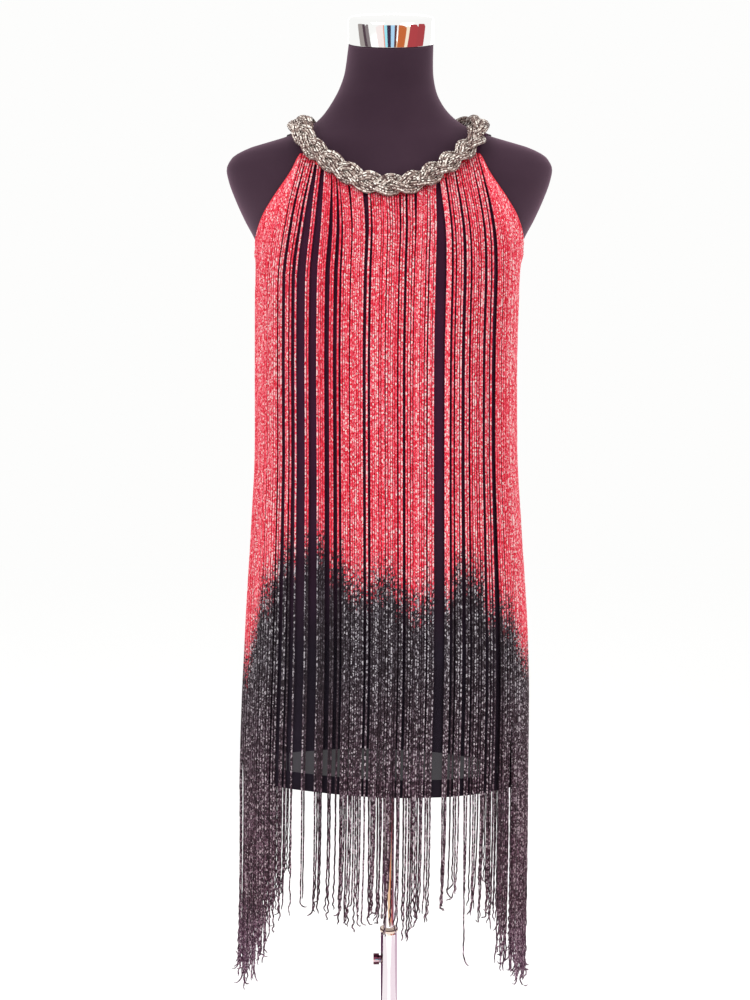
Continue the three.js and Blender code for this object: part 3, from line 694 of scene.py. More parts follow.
# %% [markdown]
# The form is foam under one tight black jersey sock. It is smooth, without arms or head. The sock
# goes up inside the neck cap. At the bottom it is pulled over a flat board.

# %% Dress form
FORM_SIDES = 128
FORM_RINGS = 230
POLE_HOLE = 6.8
FOOT_Z, NECK_Z = FORM[0, 0], FORM[-1, 0]
heights = np.concatenate([[FOOT_Z], np.linspace(FOOT_Z + 1.5, NECK_Z, FORM_RINGS)])
turns = tube_turns(FORM_SIDES)
rings = section(FORM, turns[None, :], heights[:, None])
bottom_edge = rings[0].copy()
rings[0] = bottom_edge * np.array([0.985, 0.985, 1])  # the edge of the board is a little rounded
board = bottom_edge * np.array([0.5, 0.5, 1])
hole = np.stack([POLE_HOLE * np.sin(turns), -POLE_HOLE * np.cos(turns), np.full(FORM_SIDES, FOOT_Z)], -1)
neck_middle = rings[-1].mean(0)
neck_top = neck_middle + (rings[-1] - neck_middle) * 0.5
points = np.concatenate([hole[None], board[None], rings, neck_top[None]]).reshape(-1, 3)
rows = len(points) // FORM_SIDES
faces = grid_faces(rows, FORM_SIDES, True).tolist()
faces.append(list(range((rows - 1) * FORM_SIDES, rows * FORM_SIDES)))
form = mesh_piece("form_body", points, faces)


def form_jersey():
    material = finish("form jersey", (0.031, 0.014, 0.025), 0.88, Specular_IOR_Level=0.15,
                      Sheen_Weight=0.3, Sheen_Roughness=0.5, Sheen_Tint=(0.75, 0.45, 0.62, 1))
    place = object_place(material)
    knit = pattern(material, "Wave", place, {"Scale": 420.0, "Distortion": 1.2, "Detail": 1.0},
                   bands_direction="X")
    bump(material, knit.outputs["Fac"], 0.12, 0.0002)
    cloud = pattern(material, "Noise", place, {"Scale": 9.0, "Detail": 5.0})
    color = ramp(material, cloud.outputs["Fac"], (
        (0.3, (0.024, 0.010, 0.019)), (0.75, (0.038, 0.018, 0.030))))
    feed(material, "Base Color", color)
    return material


dress_up(form, form_jersey(), "form", "dress_form")

# %% [markdown]
# The neck cap is a spun chrome lid, level with the slanting cut of the neck. It is a cylinder with
# its top inset in small steps that follow a quarter circle, which gives the round shoulder. Two more
# insets raise the top a little, and the lid is then tipped forward.

# %% Neck cap
CAP_RADIUS = 0.050
CAP_SIDE = 0.0245
CAP_SHOULDER = 0.005
CAP_DOME = 0.0015
SHOULDER_STEPS = 6
neck_lean, neck_shift, neck_slope = LEAN_X[-1], FORM[-1, 5], FORM[-1, 6]
cap = turned("neck_lid", CAP_RADIUS, GAP, CAP_SIDE, 128)
bends = [math.pi / 2 * step / SHOULDER_STEPS for step in range(SHOULDER_STEPS + 1)]
shoulder = [
    (CAP_RADIUS - CAP_SHOULDER * (1 - math.cos(high)), CAP_SHOULDER * (math.sin(high) - math.sin(low)))
    for low, high in zip(bends, bends[1:])]
raise_rings(cap, CAP_RADIUS, shoulder + [(0.030, 0.6 * CAP_DOME), (0.012, 0.4 * CAP_DOME)])
bpy.ops.object.mode_set(mode="OBJECT")
soften(cap, 0.0008, 3, 40)
bpy.ops.object.shade_smooth_by_angle(angle=math.radians(60))
cap.rotation_euler = (math.atan(neck_slope), 0, 0)
cap.location = (neck_lean * MM, neck_shift * MM, NECK_Z * MM)
bake_place(cap)
dress_up(cap, CHROME, "form", "neck_cap")

# %% [markdown]
# The slip is two panels of thin black jersey, cut like a vest: a round neckline, deep armholes and
# a narrow strap over each shoulder. Each panel is laid out flat as an outline, filled with even
# triangles and wrapped on the ovals, so that the cut edges stay clean curves. Below the form the
# cloth is thin enough for light to come through, but its turned-up hem is double and stays dark.
# The black leans to plum, and high up it is painted redder: painted light from the red yarns.

# %% Slip panels
ARMHOLE_EDGE = (
    (160, 1277), (153, 1290), (144, 1308), (131, 1328), (112, 1355), (102, 1381), (108, 1402), (121, 1413.5))
FRONT_NECK = ((101, 1421), (94, 1408), (82, 1391), (67, 1374), (47, 1358), (25, 1347), (0, 1343))
BACK_NECK = ((101, 1421), (75, 1426), (40, 1429), (0, 1430))
UNDERARM_Z = 1276
SEAM = 0.0018
PANEL_LIFT = SLIP_OUT - 0.6
HEM_BAND = 20
HEM_RISE = 5  # how far the hem is lower on one side than in the middle
HEM_TILT_FROM = 743
HEM_HALF = 168
FLAT_SCALE = 150.0  # flattens an angle to about a millimetre
ROW_STEP = 6.0  # between the points that fill a panel
TURN_STEP = 0.037
EDGE_CLEAR = 3.2
TOP_Z = 1440
print("hem", HEM_Z, "mm over the floor")

# %% Outline and filling of a panel
def even_points(line, samples, closed=False):
    """Points at even steps along a line."""
    lengths = lengths_along(line)
    wanted = np.linspace(0, lengths[-1], samples, endpoint=not closed)
    return np.stack([np.interp(wanted, lengths, line[:, k]) for k in range(line.shape[1])], -1)


def smooth_line(points, samples):
    """Even points on a smooth curve through a few given ones."""
    points = np.asarray(points, float)
    padded = np.concatenate([[2 * points[0] - points[1]], points, [2 * points[-1] - points[-2]]])
    t = np.linspace(0, 1, 24, endpoint=False)[:, None]
    out = []
    for i in range(len(points) - 1):
        a, b, c, d = padded[i:i + 4]
        square, cube = 2 * a - 5 * b + 4 * c - d, 3 * b - a - 3 * c + d
        out.append(0.5 * (2 * b + (c - a) * t + square * t ** 2 + cube * t ** 3))
    return even_points(np.concatenate([*out, points[-1:]]), samples)


def slip_outline(back):
    """The right half of a panel's edge as (turn, z), from the hem up to the middle of the neckline."""
    limit = math.pi / 2 - SEAM
    hem = [(turn, HEM_Z) for turn in np.arange(0.03, limit - 0.01, 0.035)]
    side = [(limit, z) for z in np.arange(HEM_Z, UNDERARM_Z, ROW_STEP)]
    neckline = smooth_line(BACK_NECK if back else FRONT_NECK, 40)
    edge = stations([*smooth_line(ARMHOLE_EDGE, 56)[1:], *neckline])
    return hem + side + [(min(limit, turn), z) for turn, z in edge]


def slip_panel(name, back):
    half = [(0.0, HEM_Z)] + slip_outline(back)
    left = [(-turn, z) for turn, z in reversed(half) if turn > 1e-6]
    flat = np.array(half + left) * (FLAT_SCALE, 1)
    inside = []
    for row, z in enumerate(np.arange(HEM_Z + 5, TOP_Z, ROW_STEP)):
        turns = (np.arange(-42, 43) + 0.5 * (row % 2)) * TURN_STEP
        inside += [(turn * FLAT_SCALE, z) for turn in turns]
    inside = np.array(inside)
    clear = np.min(np.linalg.norm(inside[:, None] - flat[None], axis=2), axis=1) > EDGE_CLEAR
    every = [Vector(p) for p in np.concatenate([flat, inside[clear]])]
    edges = [(i, (i + 1) % len(flat)) for i in range(len(flat))]
    points, _, faces, *_ = geometry.delaunay_2d_cdt(every, edges, [], 1, 1e-4)
    points = np.array(points)
    turn, z = points[:, 0] / FLAT_SCALE, points[:, 1]
    placed = lifted(np.where(back, math.pi - turn, turn), z, PANEL_LIFT + folds(turn, z, back))
    placed[:, 2] -= (HEM_RISE * placed[:, 0] / HEM_HALF
                     * np.clip((HEM_TILT_FROM - z) / (HEM_TILT_FROM - HEM_Z), 0, 1))
    if back:
        faces = [face[::-1] for face in faces]
    return mesh_piece(name, placed, faces, np.stack([placed[:, 0] / 1000, z / 1000], -1))


def folds(turn, z, back):
    """Soft uneven drape below the bust, in millimetres, strongest towards the hem."""
    fall = np.clip((1150 - z) / 480, 0, 1) ** 1.3
    waves = (np.sin(5.3 * turn + 0.4 + back) * 0.5 + np.sin(9.7 * turn + 2.1 + 1.7 * back) * 0.35
             + np.sin(16.1 * turn + 0.002 * z + back) * 0.15)
    return 2.2 * fall * (waves - 0.6)


print("outline of", len(slip_outline(False)), "points on each half of the front")

# %% Slip finish and panels
def slip_jersey(name, alpha):
    material = finish(name, (0.03, 0.008, 0.02), 0.85, Alpha=alpha, Specular_IOR_Level=0.08,
                      Sheen_Weight=0.1, Sheen_Roughness=0.5, Sheen_Tint=(0.8, 0.35, 0.6, 1))
    place = thread_place(material)
    knit = pattern(material, "Wave", place, {"Scale": 380.0, "Distortion": 0.8, "Detail": 1.0},
                   bands_direction="X")
    bump(material, knit.outputs["Fac"], 0.2, 0.00025)
    cloud = pattern(material, "Noise", place, {"Scale": 14.0, "Detail": 4.0}).outputs["Fac"]
    # Painted light: the redder ramp, used high up, stands in for the red light that the yarns throw on the
    # cloth.
    painted_red_light = ramp(material, cloud, ((0.3, (0.028, 0.005, 0.017)), (0.75, (0.042, 0.009, 0.027))))
    cool = ramp(material, cloud, ((0.3, (0.008, 0.006, 0.010)), (0.75, (0.014, 0.010, 0.018))))
    high = map_range(material, coordinate(material, place, "Y"), From_Min=0.82, From_Max=1.05)
    feed(material, "Base Color", mix_colors(material, high, cool, painted_red_light))
    return material


SLIP = slip_jersey("slip jersey", 0.955)
HEM = slip_jersey("slip hem, double", 0.995)
for label, back in (("front", False), ("back", True)):
    panel = slip_panel(f"slip_{label}_panel", back)
    dress_up(panel, SLIP, "form", f"slip_{label}")

# %% Turned-up hems
def hem_band(label, back):
    """The turned-up hem, a second layer just outside the panel, with its fold at the bottom."""
    turns = np.linspace(-math.pi / 2 + SEAM, math.pi / 2 - SEAM, 90)
    shown = np.where(back, math.pi - turns, turns)
    band_top = HEM_Z + HEM_BAND
    rows = []
    for z, lift in ((band_top, 0.25), (band_top - 0.5, 0.6), (HEM_Z + 10, 0.7), (HEM_Z + 0.5, 0.6),
                    (HEM_Z - 0.3, 0.0), (HEM_Z + 0.5, -0.6), (band_top - 0.5, -0.6)):
        row = lifted(shown, np.full_like(turns, z), PANEL_LIFT + lift + folds(turns, z, back))
        row[:, 2] -= HEM_RISE * row[:, 0] / HEM_HALF
        rows.append(row)
    points = np.concatenate(rows)
    faces = grid_faces(len(rows), len(turns), False)
    faces = faces if back else faces[:, ::-1]
    piece = mesh_piece(f"slip_{label}_hem", points, faces, points[:, [0, 2]] / 1000)
    dress_up(piece, HEM, "form", f"slip_{label}")
    return piece


hem_pieces = {label: hem_band(label, back) for label, back in (("front", False), ("back", True))}

# %% [markdown]
# The yarn is a two-ply twist: coloured viscose with a flat silver lurex strand, so bright flecks
# show all along it, more on some yarns than on others. The lower part was dipped in black dye, which
# creeps up each yarn to its own height and turns to plum and then mauve at the ends. One shader does
# it all. The yarn's UV map runs round it and along it. Four attributes hold how far the dye has
# reached, how low the point lies, how silvery the yarn is, and how near the point is to the sides
# that face the next yarns, where the colour is darkened as painted shade.

# %% Yarn finish
def lurex_yarn():
    material = finish("lurex yarn", (0.6, 0.05, 0.08), 0.42, 0.1, Specular_IOR_Level=0.3,
                      Sheen_Weight=0.1, Sheen_Roughness=0.4, Sheen_Tint=(0.9, 0.6, 0.7, 1))
    place = thread_place(material)
    flecks = pattern(material, "Voronoi", stretched(material, place, (3.6, 560.0, 1.0)),
                     {"Scale": 1.0, "Randomness": 1.0})
    fleck = cell_values(material, flecks)
    silver = either_way(material, attribute_of(material, "tone"), 0.34)
    bright = math_node(material, "ADD", fleck["Red"], silver)
    red = ramp(material, bright, (
        (0.0, (0.72, 0.005, 0.028)), (0.27, (0.85, 0.042, 0.085)), (0.54, (0.93, 0.19, 0.24)),
        (0.84, (0.97, 0.58, 0.58))), "CONSTANT")
    black = ramp(material, bright, (
        (0.0, (0.008, 0.004, 0.008)), (0.42, (0.026, 0.018, 0.025)), (0.68, (0.11, 0.093, 0.11)),
        (0.90, (0.42, 0.39, 0.42))), "CONSTANT")
    plum = ramp(material, bright, (
        (0.0, (0.018, 0.003, 0.010)), (0.40, (0.058, 0.016, 0.032)), (0.66, (0.17, 0.085, 0.125)),
        (0.88, (0.46, 0.34, 0.38))), "CONSTANT")
    mauve = ramp(material, bright, (
        (0.0, (0.06, 0.016, 0.045)), (0.40, (0.17, 0.07, 0.13)), (0.66, (0.34, 0.19, 0.28)),
        (0.88, (0.56, 0.42, 0.50))), "CONSTANT")
    low = attribute_of(material, "low")
    ends = mix_colors(material, map_range(material, low, From_Min=0.72, From_Max=0.96), plum, mauve)
    # Painted shade: the sides of each yarn that face its neighbours are darkened, dark red in the red part
    # and near black below.
    side = map_range(material, attribute_of(material, "crease"), From_Min=0.75, From_Max=1.0, To_Max=0.6)
    red = mix_colors(material, side, red, (0.22, 0.004, 0.02))
    black = mix_colors(material, map_range(material, low, From_Max=0.55), black, ends)
    black = mix_colors(material, side, black, (0.008, 0.003, 0.006))
    fuzz = either_way(material, fleck["Green"], 0.16)
    reached = math_node(material, "ADD", attribute_of(material, "dye"), fuzz)
    dipped = map_range(material, reached, From_Min=0.45, From_Max=0.55)
    feed(material, "Base Color", mix_colors(material, dipped, red, black))
    shine = map_range(material, bright, From_Min=0.55, From_Max=0.85, To_Min=0.6, To_Max=0.3)
    feed(material, "Roughness", shine)
    ply = pattern(material, "Wave", stretched(material, place, (6.28, 900.0, 0.0)),
                  {"Scale": 1.0, "Distortion": 0.0}, bands_direction="DIAGONAL")
    bump(material, ply.outputs["Fac"], 0.5, 0.0005)
    return material


YARN = lurex_yarn()

# %% [markdown]
# Some two hundred and fifty yarns are too many to pull by hand, so one function makes a piece from
# a list of paths. Every path starts in the header, bends over the chest and falls straight to the
# hem. Below it the loose end goes its own way: a direction is turned a little at each step, in waves
# that grow towards the tip, so that the length stays true however it curls. A short list holds the
# open stretches across the front, and even rows of yarns fill the bands between them.

# %% Sizes of the fringe, in millimetres
YARN_RADIUS = 1.12
YARN_PITCH = 2.3
YARN_CLEAR = 0.9  # between the slip and the nearest yarns
NECK_TAPE = ((0, 1330), (25, 1333.5), (47, 1343.5), (66, 1356), (82, 1368), (97.5, 1379.5))
ARMHOLE_TAPE = ((99.2, 1378.5), (112, 1355), (131, 1328), (144, 1308), (151, 1292), (152, 1281))
UNDERARM = (math.pi / 2, UNDERARM_Z)
REACH_LEFT, REACH_RIGHT = 120.0, 115.9
# Open stretches in the front, by the place of their middle and their width at the bust, and then
# their width at the header, where most are closed.
GAPS = (
    (-113.4, 2.8, 0), (-102.7, 3.4, 0), (-93.8, 8.2, 1.4), (-80.2, 7.9, 3.3), (-64.9, 4.7, 0.4),
    (-55.9, 3.2, 0.4), (-50.6, 1.4, 0), (-39.8, 0.6, 2.4), (-24.2, 3.5, 5), (-19.1, 2.1, 0.5),
    (-6.3, 0.6, 0), (-2, 1, 0), (11.5, 0.9, 0.9), (18.3, 2.3, 1.1), (24.7, 0.6, 0), (27.8, 0.7, 2.6),
    (39.7, 0.6, 0), (43.3, 1.1, 0), (56.4, 11.6, 3.9), (69, 1.9, 1.6), (73.1, 1.1, 0),
    (82.9, 3.2, 0.8), (90.1, 1.6, 0), (106.7, 1.9, 0), (113, 0.5, 0),
)
# Height of the tips by the distance from the middle, and of the top of the dye by the place.
TIP_X = np.array([0, 35, 70, 88, 99, 111, 121, 132, 142, 158.0])
TIP_Z = np.array([506, 510, 524, 532, 515, 497, 468, 438, 416, 404.0])
STRAYS = ((22.5, 490), (25.5, 493), (86.5, 455))  # three longer threads: place and height of the tip
DYE_X = np.array([-150, -143, -134, -121, -110, -96, -84, -70, -60, -48, -34, -26, -10,
                  5, 20, 34, 52, 66, 80, 100, 108, 122, 131, 142, 150.0])
DYE_Z = np.array([799, 803, 878, 900, 929, 939, 947, 952, 922, 922, 895, 890, 914,
                  906, 888, 882, 893, 886, 925, 912, 868, 872, 862, 812, 800.0])
DYE_SPAN = 300.0  # the drop over which the yarns' dye value runs from 0 to 1
LOW_FROM, LOW_SPAN = 800, 400  # the same for the value of how low a point lies, and where it starts
rng = np.random.default_rng(20)
HANG_STEPS, FREE_STEPS = 36, 72
DRIFT = -3.0  # all the loose ends hang a little to one side
LONG_WAVE, SHORT_WAVE, HOOK = 34.0, 11.0, 11.0  # lengths of the waves and of the hooked tip
print(len(GAPS), "open stretches across the front")

# %% Lines that the yarns hang from
def body_line(half):
    """A smooth line on the body through (turn, z) stations, with its even shares."""
    line = smooth_line(half, 400)
    lengths = lengths_along(section(SUPPORT, line[:, 0], line[:, 1]))
    return line, lengths / lengths[-1]


def neck_line():
    half = stations(NECK_TAPE)
    return body_line([(-turn, z) for turn, z in reversed(half)] + half[1:])


def armhole_line(side):
    front = stations(ARMHOLE_TAPE)
    behind = [(math.pi - turn, z) for turn, z in reversed(front)]
    return body_line([(side * turn, z) for turn, z in front + [UNDERARM] + behind])


def on_line(line, shares, share):
    return (float(np.interp(share, shares, line[:, 0])), float(np.interp(share, shares, line[:, 1])))


print("neckline header", len(neck_line()[0]), "points")

# %% Path of one yarn
def wandering(pull, aside=0.0, aside_from=760):
    """The small differences between one yarn and the next. pull is the way its tip goes sideways,
    and aside is how far its part below the height aside_from lies from its even place."""
    return {
        "aside": aside,
        "aside_from": aside_from,
        "slant": rng.normal(0, 0.3),
        "pull": pull + rng.normal(0, 0.9),
        "phase": rng.uniform(0, 2 * math.pi, 4),
        "wave": abs(rng.normal(0.05, 0.03)),
        "crimp": abs(rng.normal(0.15, 0.07)),
        "hook": rng.normal(0, 0.9, 2) * (rng.random() < 0.7),
    }


def loose_end(start, length, wander):
    """The part below the hem: it falls in growing waves, leans to its tuft and ends in a hook."""
    share = np.linspace(0, 1, FREE_STEPS + 1)[1:]
    along = share * length
    growth = 0.3 + 2.4 * share ** 5
    hook = np.clip((along - length + HOOK) / HOOK, 0, 1)
    phase = wander["phase"]
    headings = []
    for axis, pull in enumerate((DRIFT + wander["pull"], 0.4 * wander["pull"])):
        wave = wander["wave"] * np.sin(2 * math.pi * along / LONG_WAVE + phase[axis])
        crimp = wander["crimp"] * np.sin(2 * math.pi * along / SHORT_WAVE + phase[axis + 2])
        headings.append(growth * (wave + crimp) + 2 * share * pull / length + wander["hook"][axis] * hook)
    step = length / FREE_STEPS
    aside, behind = headings
    moves = np.stack([np.sin(aside), np.sin(behind), -np.cos(aside) * np.cos(behind)], -1)
    return start + np.cumsum(moves * step, axis=0)


def yarn_path(root, middle, back, layer, tip_z, wander):
    """The centre line of one yarn, and the way it faces. middle is its place across at the bust."""
    turn0, z0 = root
    x0 = float(half_width(z0)) * math.sin(turn0)
    z = z0 - (z0 - HEM_Z) * np.linspace(0, 1, HANG_STEPS) ** 1.35
    high = z > BUST_Z
    share = np.clip((z0 - z) / (z0 - BUST_Z), 0, 1)
    bust_half = float(half_width(BUST_Z))
    spread = (half_width(z) - bust_half) * (middle / bust_half) ** 3
    x = np.where(high, x0 + (middle - x0) * (1 - (1 - share) ** 2), middle + spread)
    moved = np.clip(1.3 * (wander["aside_from"] - z) / (wander["aside_from"] - HEM_Z), 0, 1)
    x = x + wander["slant"] * np.clip((BUST_Z - z) / (BUST_Z - HEM_Z), 0, 1) + wander["aside"] * moved
    turn = turn_of(x, z, back)
    turn[0] = turn0
    lift = SLIP_OUT + YARN_CLEAR + YARN_RADIUS + layer * np.clip((z0 - z) / 60, 0.25, 1)
    hung = section(SUPPORT, turn, z) + surface_normal(SUPPORT, turn, z) * lift[:, None]
    faces_out = surface_normal(SUPPORT, turn[-1], HEM_Z)
    return np.concatenate([hung, loose_end(hung[-1], HEM_Z - tip_z, wander)]), faces_out


# %% Tubes along the paths
YARN_SIDES = 6


def yarns(name, strands):
    """One joined mesh of yarn tubes. A strand is its path, the way it faces, and where its dye ends."""
    points, uv, dye, low, tone = [], [], [], [], []
    around = tube_turns(YARN_SIDES)
    for path, faces_out, top in strands:
        seed = rng.random()
        along = unit(np.gradient(path, axis=0))
        side = unit(np.cross(along, faces_out))
        lengths = lengths_along(path)
        thinner = np.interp(lengths[-1] - lengths, (0, 2, 9, 150), (0.35, 0.62, 0.8, 1.0))
        radius = YARN_RADIUS * (1 + 0.07 * np.sin(lengths / 5 + seed * 9)) * thinner
        ring = tube_rings(side, np.cross(side, along), around)
        height = np.repeat(path[:, 2], YARN_SIDES)
        points.append((path[:, None] + ring * radius[:, None, None]).reshape(-1, 3))
        uv.append(tube_uv(around, lengths, seed * 17, seed * 3))
        dye.append(0.5 + (top - height) / DYE_SPAN)
        low.append(np.clip((LOW_FROM - height) / LOW_SPAN, 0, 1))
        tone.append(np.full(len(height), rng.random()))
    steps = HANG_STEPS + FREE_STEPS
    tube = grid_faces(steps, YARN_SIDES, True)[:, ::-1]
    first = np.arange(YARN_SIDES)
    last = first + (steps - 1) * YARN_SIDES
    faces = []
    for i in range(len(strands)):
        shift = i * steps * YARN_SIDES
        faces += (tube + shift).tolist()
        faces += [(first + shift).tolist(), (last[::-1] + shift).tolist()]
    piece = mesh_piece(name, np.concatenate(points), faces, np.concatenate(uv))
    # Painted shade: 1 on the sides of a tube that face the next tube, 0 on its front and back. The finishes
    # darken it there.
    crease = np.tile(np.abs(np.cos(around)), len(strands) * steps)
    point_values(piece, dye=np.concatenate(dye), low=np.concatenate(low),
                 tone=np.concatenate(tone), crease=crease)
    return piece


def dye_top(x):
    return float(np.interp(x, DYE_X, DYE_Z)) + rng.normal(0, 7)


def tip_height(x):
    usual = float(np.interp(abs(x), TIP_X, TIP_Z)) + rng.normal(0, 8)
    strays = [tip for place, tip in STRAYS if abs(x - place) < YARN_PITCH / 2]
    return strays[0] if strays else usual


# %% Neck fringe
def tuft_middles(middles):
    """The middle of the tuft of two to four neighbours that each loose end hangs in."""
    found = []
    while len(found) < len(middles):
        start = len(found)
        end = start + 1
        most = start + int(rng.integers(2, 5))
        while end < min(most, len(middles)) and middles[end] - middles[end - 1] < 1.2 * YARN_PITCH:
            end += 1
        found += [float(np.mean(middles[start:end]))] * (end - start)
    return found


def front_places():
    """Places across the bust and along the header: even rows between the open stretches."""
    inner = [at + side * wide / 2 for at, wide, _ in GAPS for side in (-1, 1)]
    edges = [-REACH_LEFT, *inner, REACH_RIGHT]
    closed = np.cumsum([0.0] + [wide - root for _, wide, root in GAPS])
    middles, roots = [], []
    for low, high, shift in zip(edges[::2], edges[1::2], closed):
        count = max(1, round((high - low) / YARN_PITCH))
        row = [low + (k + 0.5) * (high - low) / count for k in range(count)]
        middles += row
        roots += [place - shift for place in row]
    return middles, np.interp(roots, (-REACH_LEFT, REACH_RIGHT - closed[-1]), (0, 1))


def neck_yarns():
    line, shares = neck_line()
    middles, roots = front_places()
    strands = []
    for n, (middle, share, tuft) in enumerate(zip(middles, roots, tuft_middles(middles))):
        root = on_line(line, shares, share)
        layer = 0.4 * (n % 2) + 0.5 * rng.random()
        wander = wandering(0.5 * (tuft - middle))
        path, faces_out = yarn_path(
            root, middle + rng.normal(0, 0.1), False, layer, tip_height(middle), wander)
        strands.append((path, faces_out, dye_top(middle)))
    print(len(strands), "yarns on the neck")
    return yarns("neck_yarns", strands)


neck = neck_yarns()
dress_up(neck, YARN, "form", "neck_fringe")

# %% Armhole fringes
ARMHOLE_YARNS = 88
ARMHOLE_FRONT = {-1: 121.1, 1: 120.7}  # how near the middle each fringe comes at the front, at the bust
ARMHOLE_REAR = {-1: 107.0, 1: 113.5}
# Where the lower ends part a little: the place at the bust, how far the nearest yarns move aside, and
# whether this is at the back. Then the height at which this starts on each side.
PARTINGS = ((-147.7, 3.4, False), (-151.2, 3.4, True), (130.8, 2.1, False), (139.2, 2.1, True))
PARTS_FROM = {-1: 698, 1: 760}


def armhole_yarns(name, side):
    line, shares = armhole_line(side)
    bust_half = float(half_width(BUST_Z))
    first = math.asin(ARMHOLE_FRONT[side] / bust_half)
    last = math.pi - math.asin(ARMHOLE_REAR[side] / bust_half)
    strands = []
    for n in range(ARMHOLE_YARNS):
        share = (n + 0.5) / ARMHOLE_YARNS
        root = on_line(line, shares, n / (ARMHOLE_YARNS - 1))
        turn = first + (last - first) * share
        middle = side * bust_half * math.sin(turn)
        layer = 1.1 * (n % 2) + 0.6 * rng.random()
        rear = turn > math.pi / 2
        offs = [(middle - place, far) for place, far, behind in PARTINGS if behind == rear]
        aside = sum(math.copysign(far * max(0.0, 1 - abs(off) / 5), off) for off, far in offs)
        tip = tip_height(middle)
        wander = wandering(0, aside, PARTS_FROM[side])
        path, faces_out = yarn_path(root, middle, rear, layer, tip, wander)
        strands.append((path, faces_out, dye_top(middle)))
    return yarns(name, strands)


for label, side in (("right", -1), ("left", 1)):
    piece = armhole_yarns(f"{label}_armhole_yarns", side)
    dress_up(piece, YARN, "form", f"{label}_armhole_fringe")

# %% [markdown]
# A fringe is knitted onto a header, a narrow tape of plain red chain stitches. It shows where the
# neckline meets the armhole, and as a thin red edge down each armhole.

# %% Header tapes
HEADER_WIDE = 4.4
HEADER_THICK = 1.7
HEADER_SIDES = 10
HEADER_STEPS = 220
HEADER_CLEAR = 0.5  # between the slip and the tape
STITCH = 2.6


def knitted_tape():
    material = finish("knitted header", (0.90, 0.01, 0.03), 0.6)
    cells = pattern(material, "Voronoi", stretched(material, thread_place(material), (6.0, 700.0, 1.0)),
                    {"Scale": 1.0, "Randomness": 0.45})
    depth = cells.outputs["Distance"]
    # Painted shade: each stitch is darker towards its edge, where it dips between its neighbours.
    color = ramp(material, depth, ((0.1, (0.98, 0.02, 0.045)), (0.75, (0.60, 0.004, 0.016))))
    feed(material, "Base Color", color)
    bump(material, depth, -0.6, 0.0006)
    return material


def header_tape(name, line, shares, replaced):
    sample = np.array([on_line(line, shares, share) for share in np.linspace(0, 1, HEADER_STEPS)])
    centre = section(SUPPORT, sample[:, 0], sample[:, 1])
    out = surface_normal(SUPPORT, sample[:, 0], sample[:, 1])
    down = np.cross(unit(np.gradient(centre, axis=0)), out)
    middle = centre + out * (SLIP_OUT + HEADER_CLEAR + HEADER_THICK / 2)
    lengths = lengths_along(centre)
    ribs = 1 + 0.16 * np.abs(np.sin(lengths * math.pi / STITCH))
    around = tube_turns(HEADER_SIDES)
    ring = tube_rings(down * ribs[:, None], out, around, HEADER_WIDE / 2, HEADER_THICK / 2)
    points = (middle[:, None] + ring).reshape(-1, 3)
    first = np.arange(HEADER_SIDES)
    ends = [first[::-1].tolist(), (first + (HEADER_STEPS - 1) * HEADER_SIDES).tolist()]
    faces = grid_faces(HEADER_STEPS, HEADER_SIDES, True).tolist() + ends
    piece = mesh_piece(name, points, faces, tube_uv(around, lengths))
    face_outwards(piece)
    dress_up(piece, TAPE, "form", replaced)


TAPE = knitted_tape()
header_tape("neck_header", *neck_line(), "neck_fringe")
for label, side in (("right", -1), ("left", 1)):
    header_tape(f"{label}_armhole_header", *armhole_line(side), f"{label}_armhole_fringe")

# %% [markdown]
# The collar is a three-strand braid. Each strand is a flat bundle of thin tubular cords, knitted
# from silver and black lurex. The strands swing from side to side and dive under each other twice
# in each turn, the same wave as the solids have. Each thin cord is a tube beside its neighbours.

# %% Braid
COLLAR_LINE = (
    (0, 1335.5, 12.3), (7.7, 1339.5, 12.3), (13.7, 1350, 12.3), (19.3, 1362.5, 12.3), (25, 1377, 12.3),
    (33, 1395, 11.6), (46, 1409, 10.8), (90, 1421, 10.4), (122, 1427.5, 9.4), (150, 1432, 9.4),
    (180, 1434, 9.4),
)
COLLAR_SWING, COLLAR_DIVE, COLLAR_TURNS = 7.6, 4.5, 9
STRAND_WIDE, STRAND_HIGH = 4.2, 1.9
CORDS_IN_STRAND = 8
CORD_RADIUS = 1.3
CORD_SAMPLES = 420
CORD_SIDES = 10
print(3 * CORDS_IN_STRAND, "cords in the braid")

# %% Course of the braid
def closed_curve(points, samples):
    """Even points round a smooth closed curve."""
    ring = np.concatenate([points[-2:], points, points[:3]])
    fine = smooth_line(ring, 40 * len(ring))
    start = np.argmin(np.linalg.norm(fine[: len(fine) // 3] - points[0], axis=1))
    half = len(fine) // 2
    end = start + half + np.argmin(np.linalg.norm(fine[start + half:] - points[0], axis=1))
    return even_points(fine[start:end + 1], samples, closed=True)


def ring_gradient(points):
    return (np.roll(points, -1, axis=0) - np.roll(points, 1, axis=0)) / 2


def collar_frame(samples):
    right = [(math.radians(turn), z, lift) for turn, z, lift in COLLAR_LINE]
    around = np.array(right + [(-turn, z, lift) for turn, z, lift in reversed(right[1:-1])])
    turn, z, lift = around.T
    centre = closed_curve(lifted(turn, z, lift), samples)
    normals = closed_curve(surface_normal(SUPPORT, turn, z), samples)
    along = unit(ring_gradient(centre))
    out = unit(normals - along * (normals * along).sum(-1, keepdims=True))
    return centre, out, np.cross(along, out)


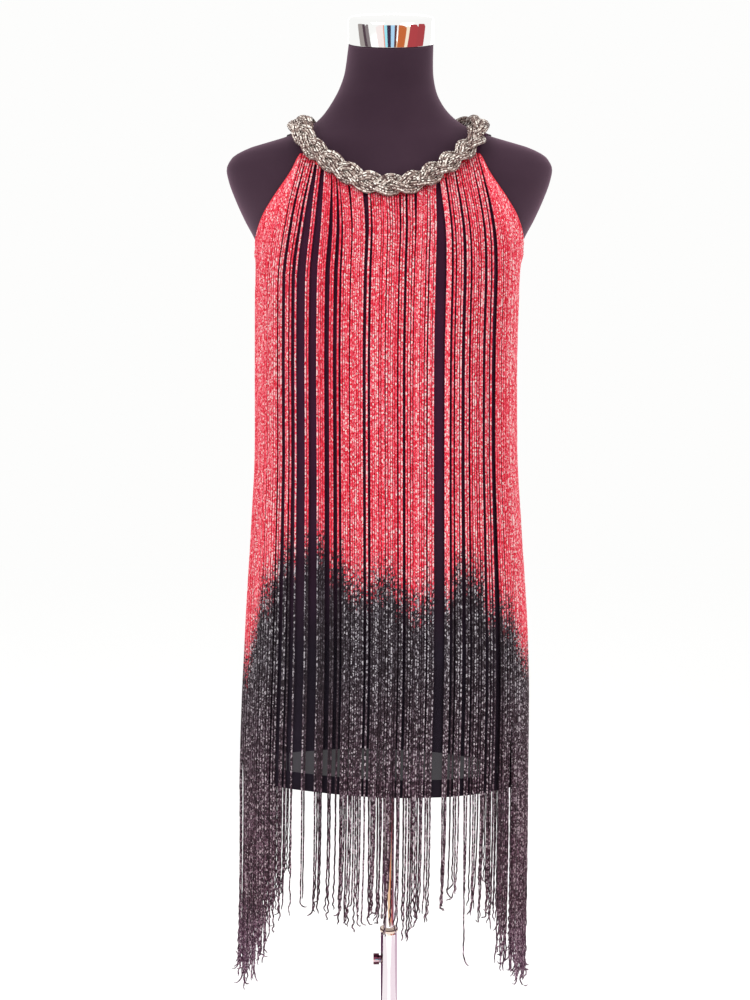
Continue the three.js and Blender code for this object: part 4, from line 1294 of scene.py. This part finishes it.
# %% Strands of cords
def collar_strand(name, phase):
    centre, out, down = collar_frame(CORD_SAMPLES)
    wave = 2 * math.pi * COLLAR_TURNS * np.arange(CORD_SAMPLES) / CORD_SAMPLES + phase
    swing = down * (COLLAR_SWING * np.sin(wave))[:, None]
    core = centre + swing + out * (COLLAR_DIVE * np.sin(2 * wave))[:, None]
    along = unit(ring_gradient(core))
    wide = unit(np.cross(along, out))
    high = np.cross(wide, along)
    lengths = lengths_along(core)
    around = tube_turns(CORD_SIDES)
    ring = tube_rings(wide, high, around) * CORD_RADIUS
    tube = grid_faces(CORD_SAMPLES, CORD_SIDES, True, looped=True)
    points, uv, faces = [], [], []
    for k in range(CORDS_IN_STRAND):
        place = 2 * math.pi * (k + 0.5) / CORDS_IN_STRAND
        cord = core + wide * STRAND_WIDE * math.cos(place) + high * STRAND_HIGH * math.sin(place)
        points.append((cord[:, None] + ring).reshape(-1, 3))
        uv.append(tube_uv(around, lengths, k * 3 + phase))
        faces += (tube + k * CORD_SAMPLES * CORD_SIDES).tolist()
    piece = mesh_piece(name, np.concatenate(points), faces, np.concatenate(uv))
    # Painted shade: darkest on the sides of each cord that lie against the next cord.
    point_values(piece, crease=np.tile(np.abs(np.cos(around)), CORDS_IN_STRAND * CORD_SAMPLES))
    face_outwards(piece)
    return piece


def lurex_cord():
    material = finish("lurex cord", (0.42, 0.36, 0.33), 0.5, 0.1, Specular_IOR_Level=0.35)
    knit = pattern(material, "Voronoi", stretched(material, thread_place(material), (5.0, 620.0, 1.0)),
                   {"Scale": 1.0, "Randomness": 0.5})
    stitch = ramp(material, cell_values(material, knit)["Red"], (
        (0.0, (0.07, 0.03, 0.028)), (0.24, (0.26, 0.18, 0.155)), (0.50, (0.50, 0.41, 0.36)),
        (0.76, (0.93, 0.87, 0.79))), "CONSTANT")
    # Painted shade: the cords are darkened where they lie against each other.
    side = map_range(material, attribute_of(material, "crease"), From_Min=0.6, From_Max=1.0, To_Max=0.8)
    feed(material, "Base Color", mix_colors(material, side, stitch, (0.07, 0.03, 0.03)))
    bump(material, knit.outputs["Distance"], -0.8, 0.0007)
    return material


CORD = lurex_cord()
for letter, phase in zip("abc", (0, 2 * math.pi / 3, 4 * math.pi / 3)):
    strand = collar_strand(f"braid_strand_{letter}", phase)
    dress_up(strand, CORD, "form", f"collar_cord_{letter}")
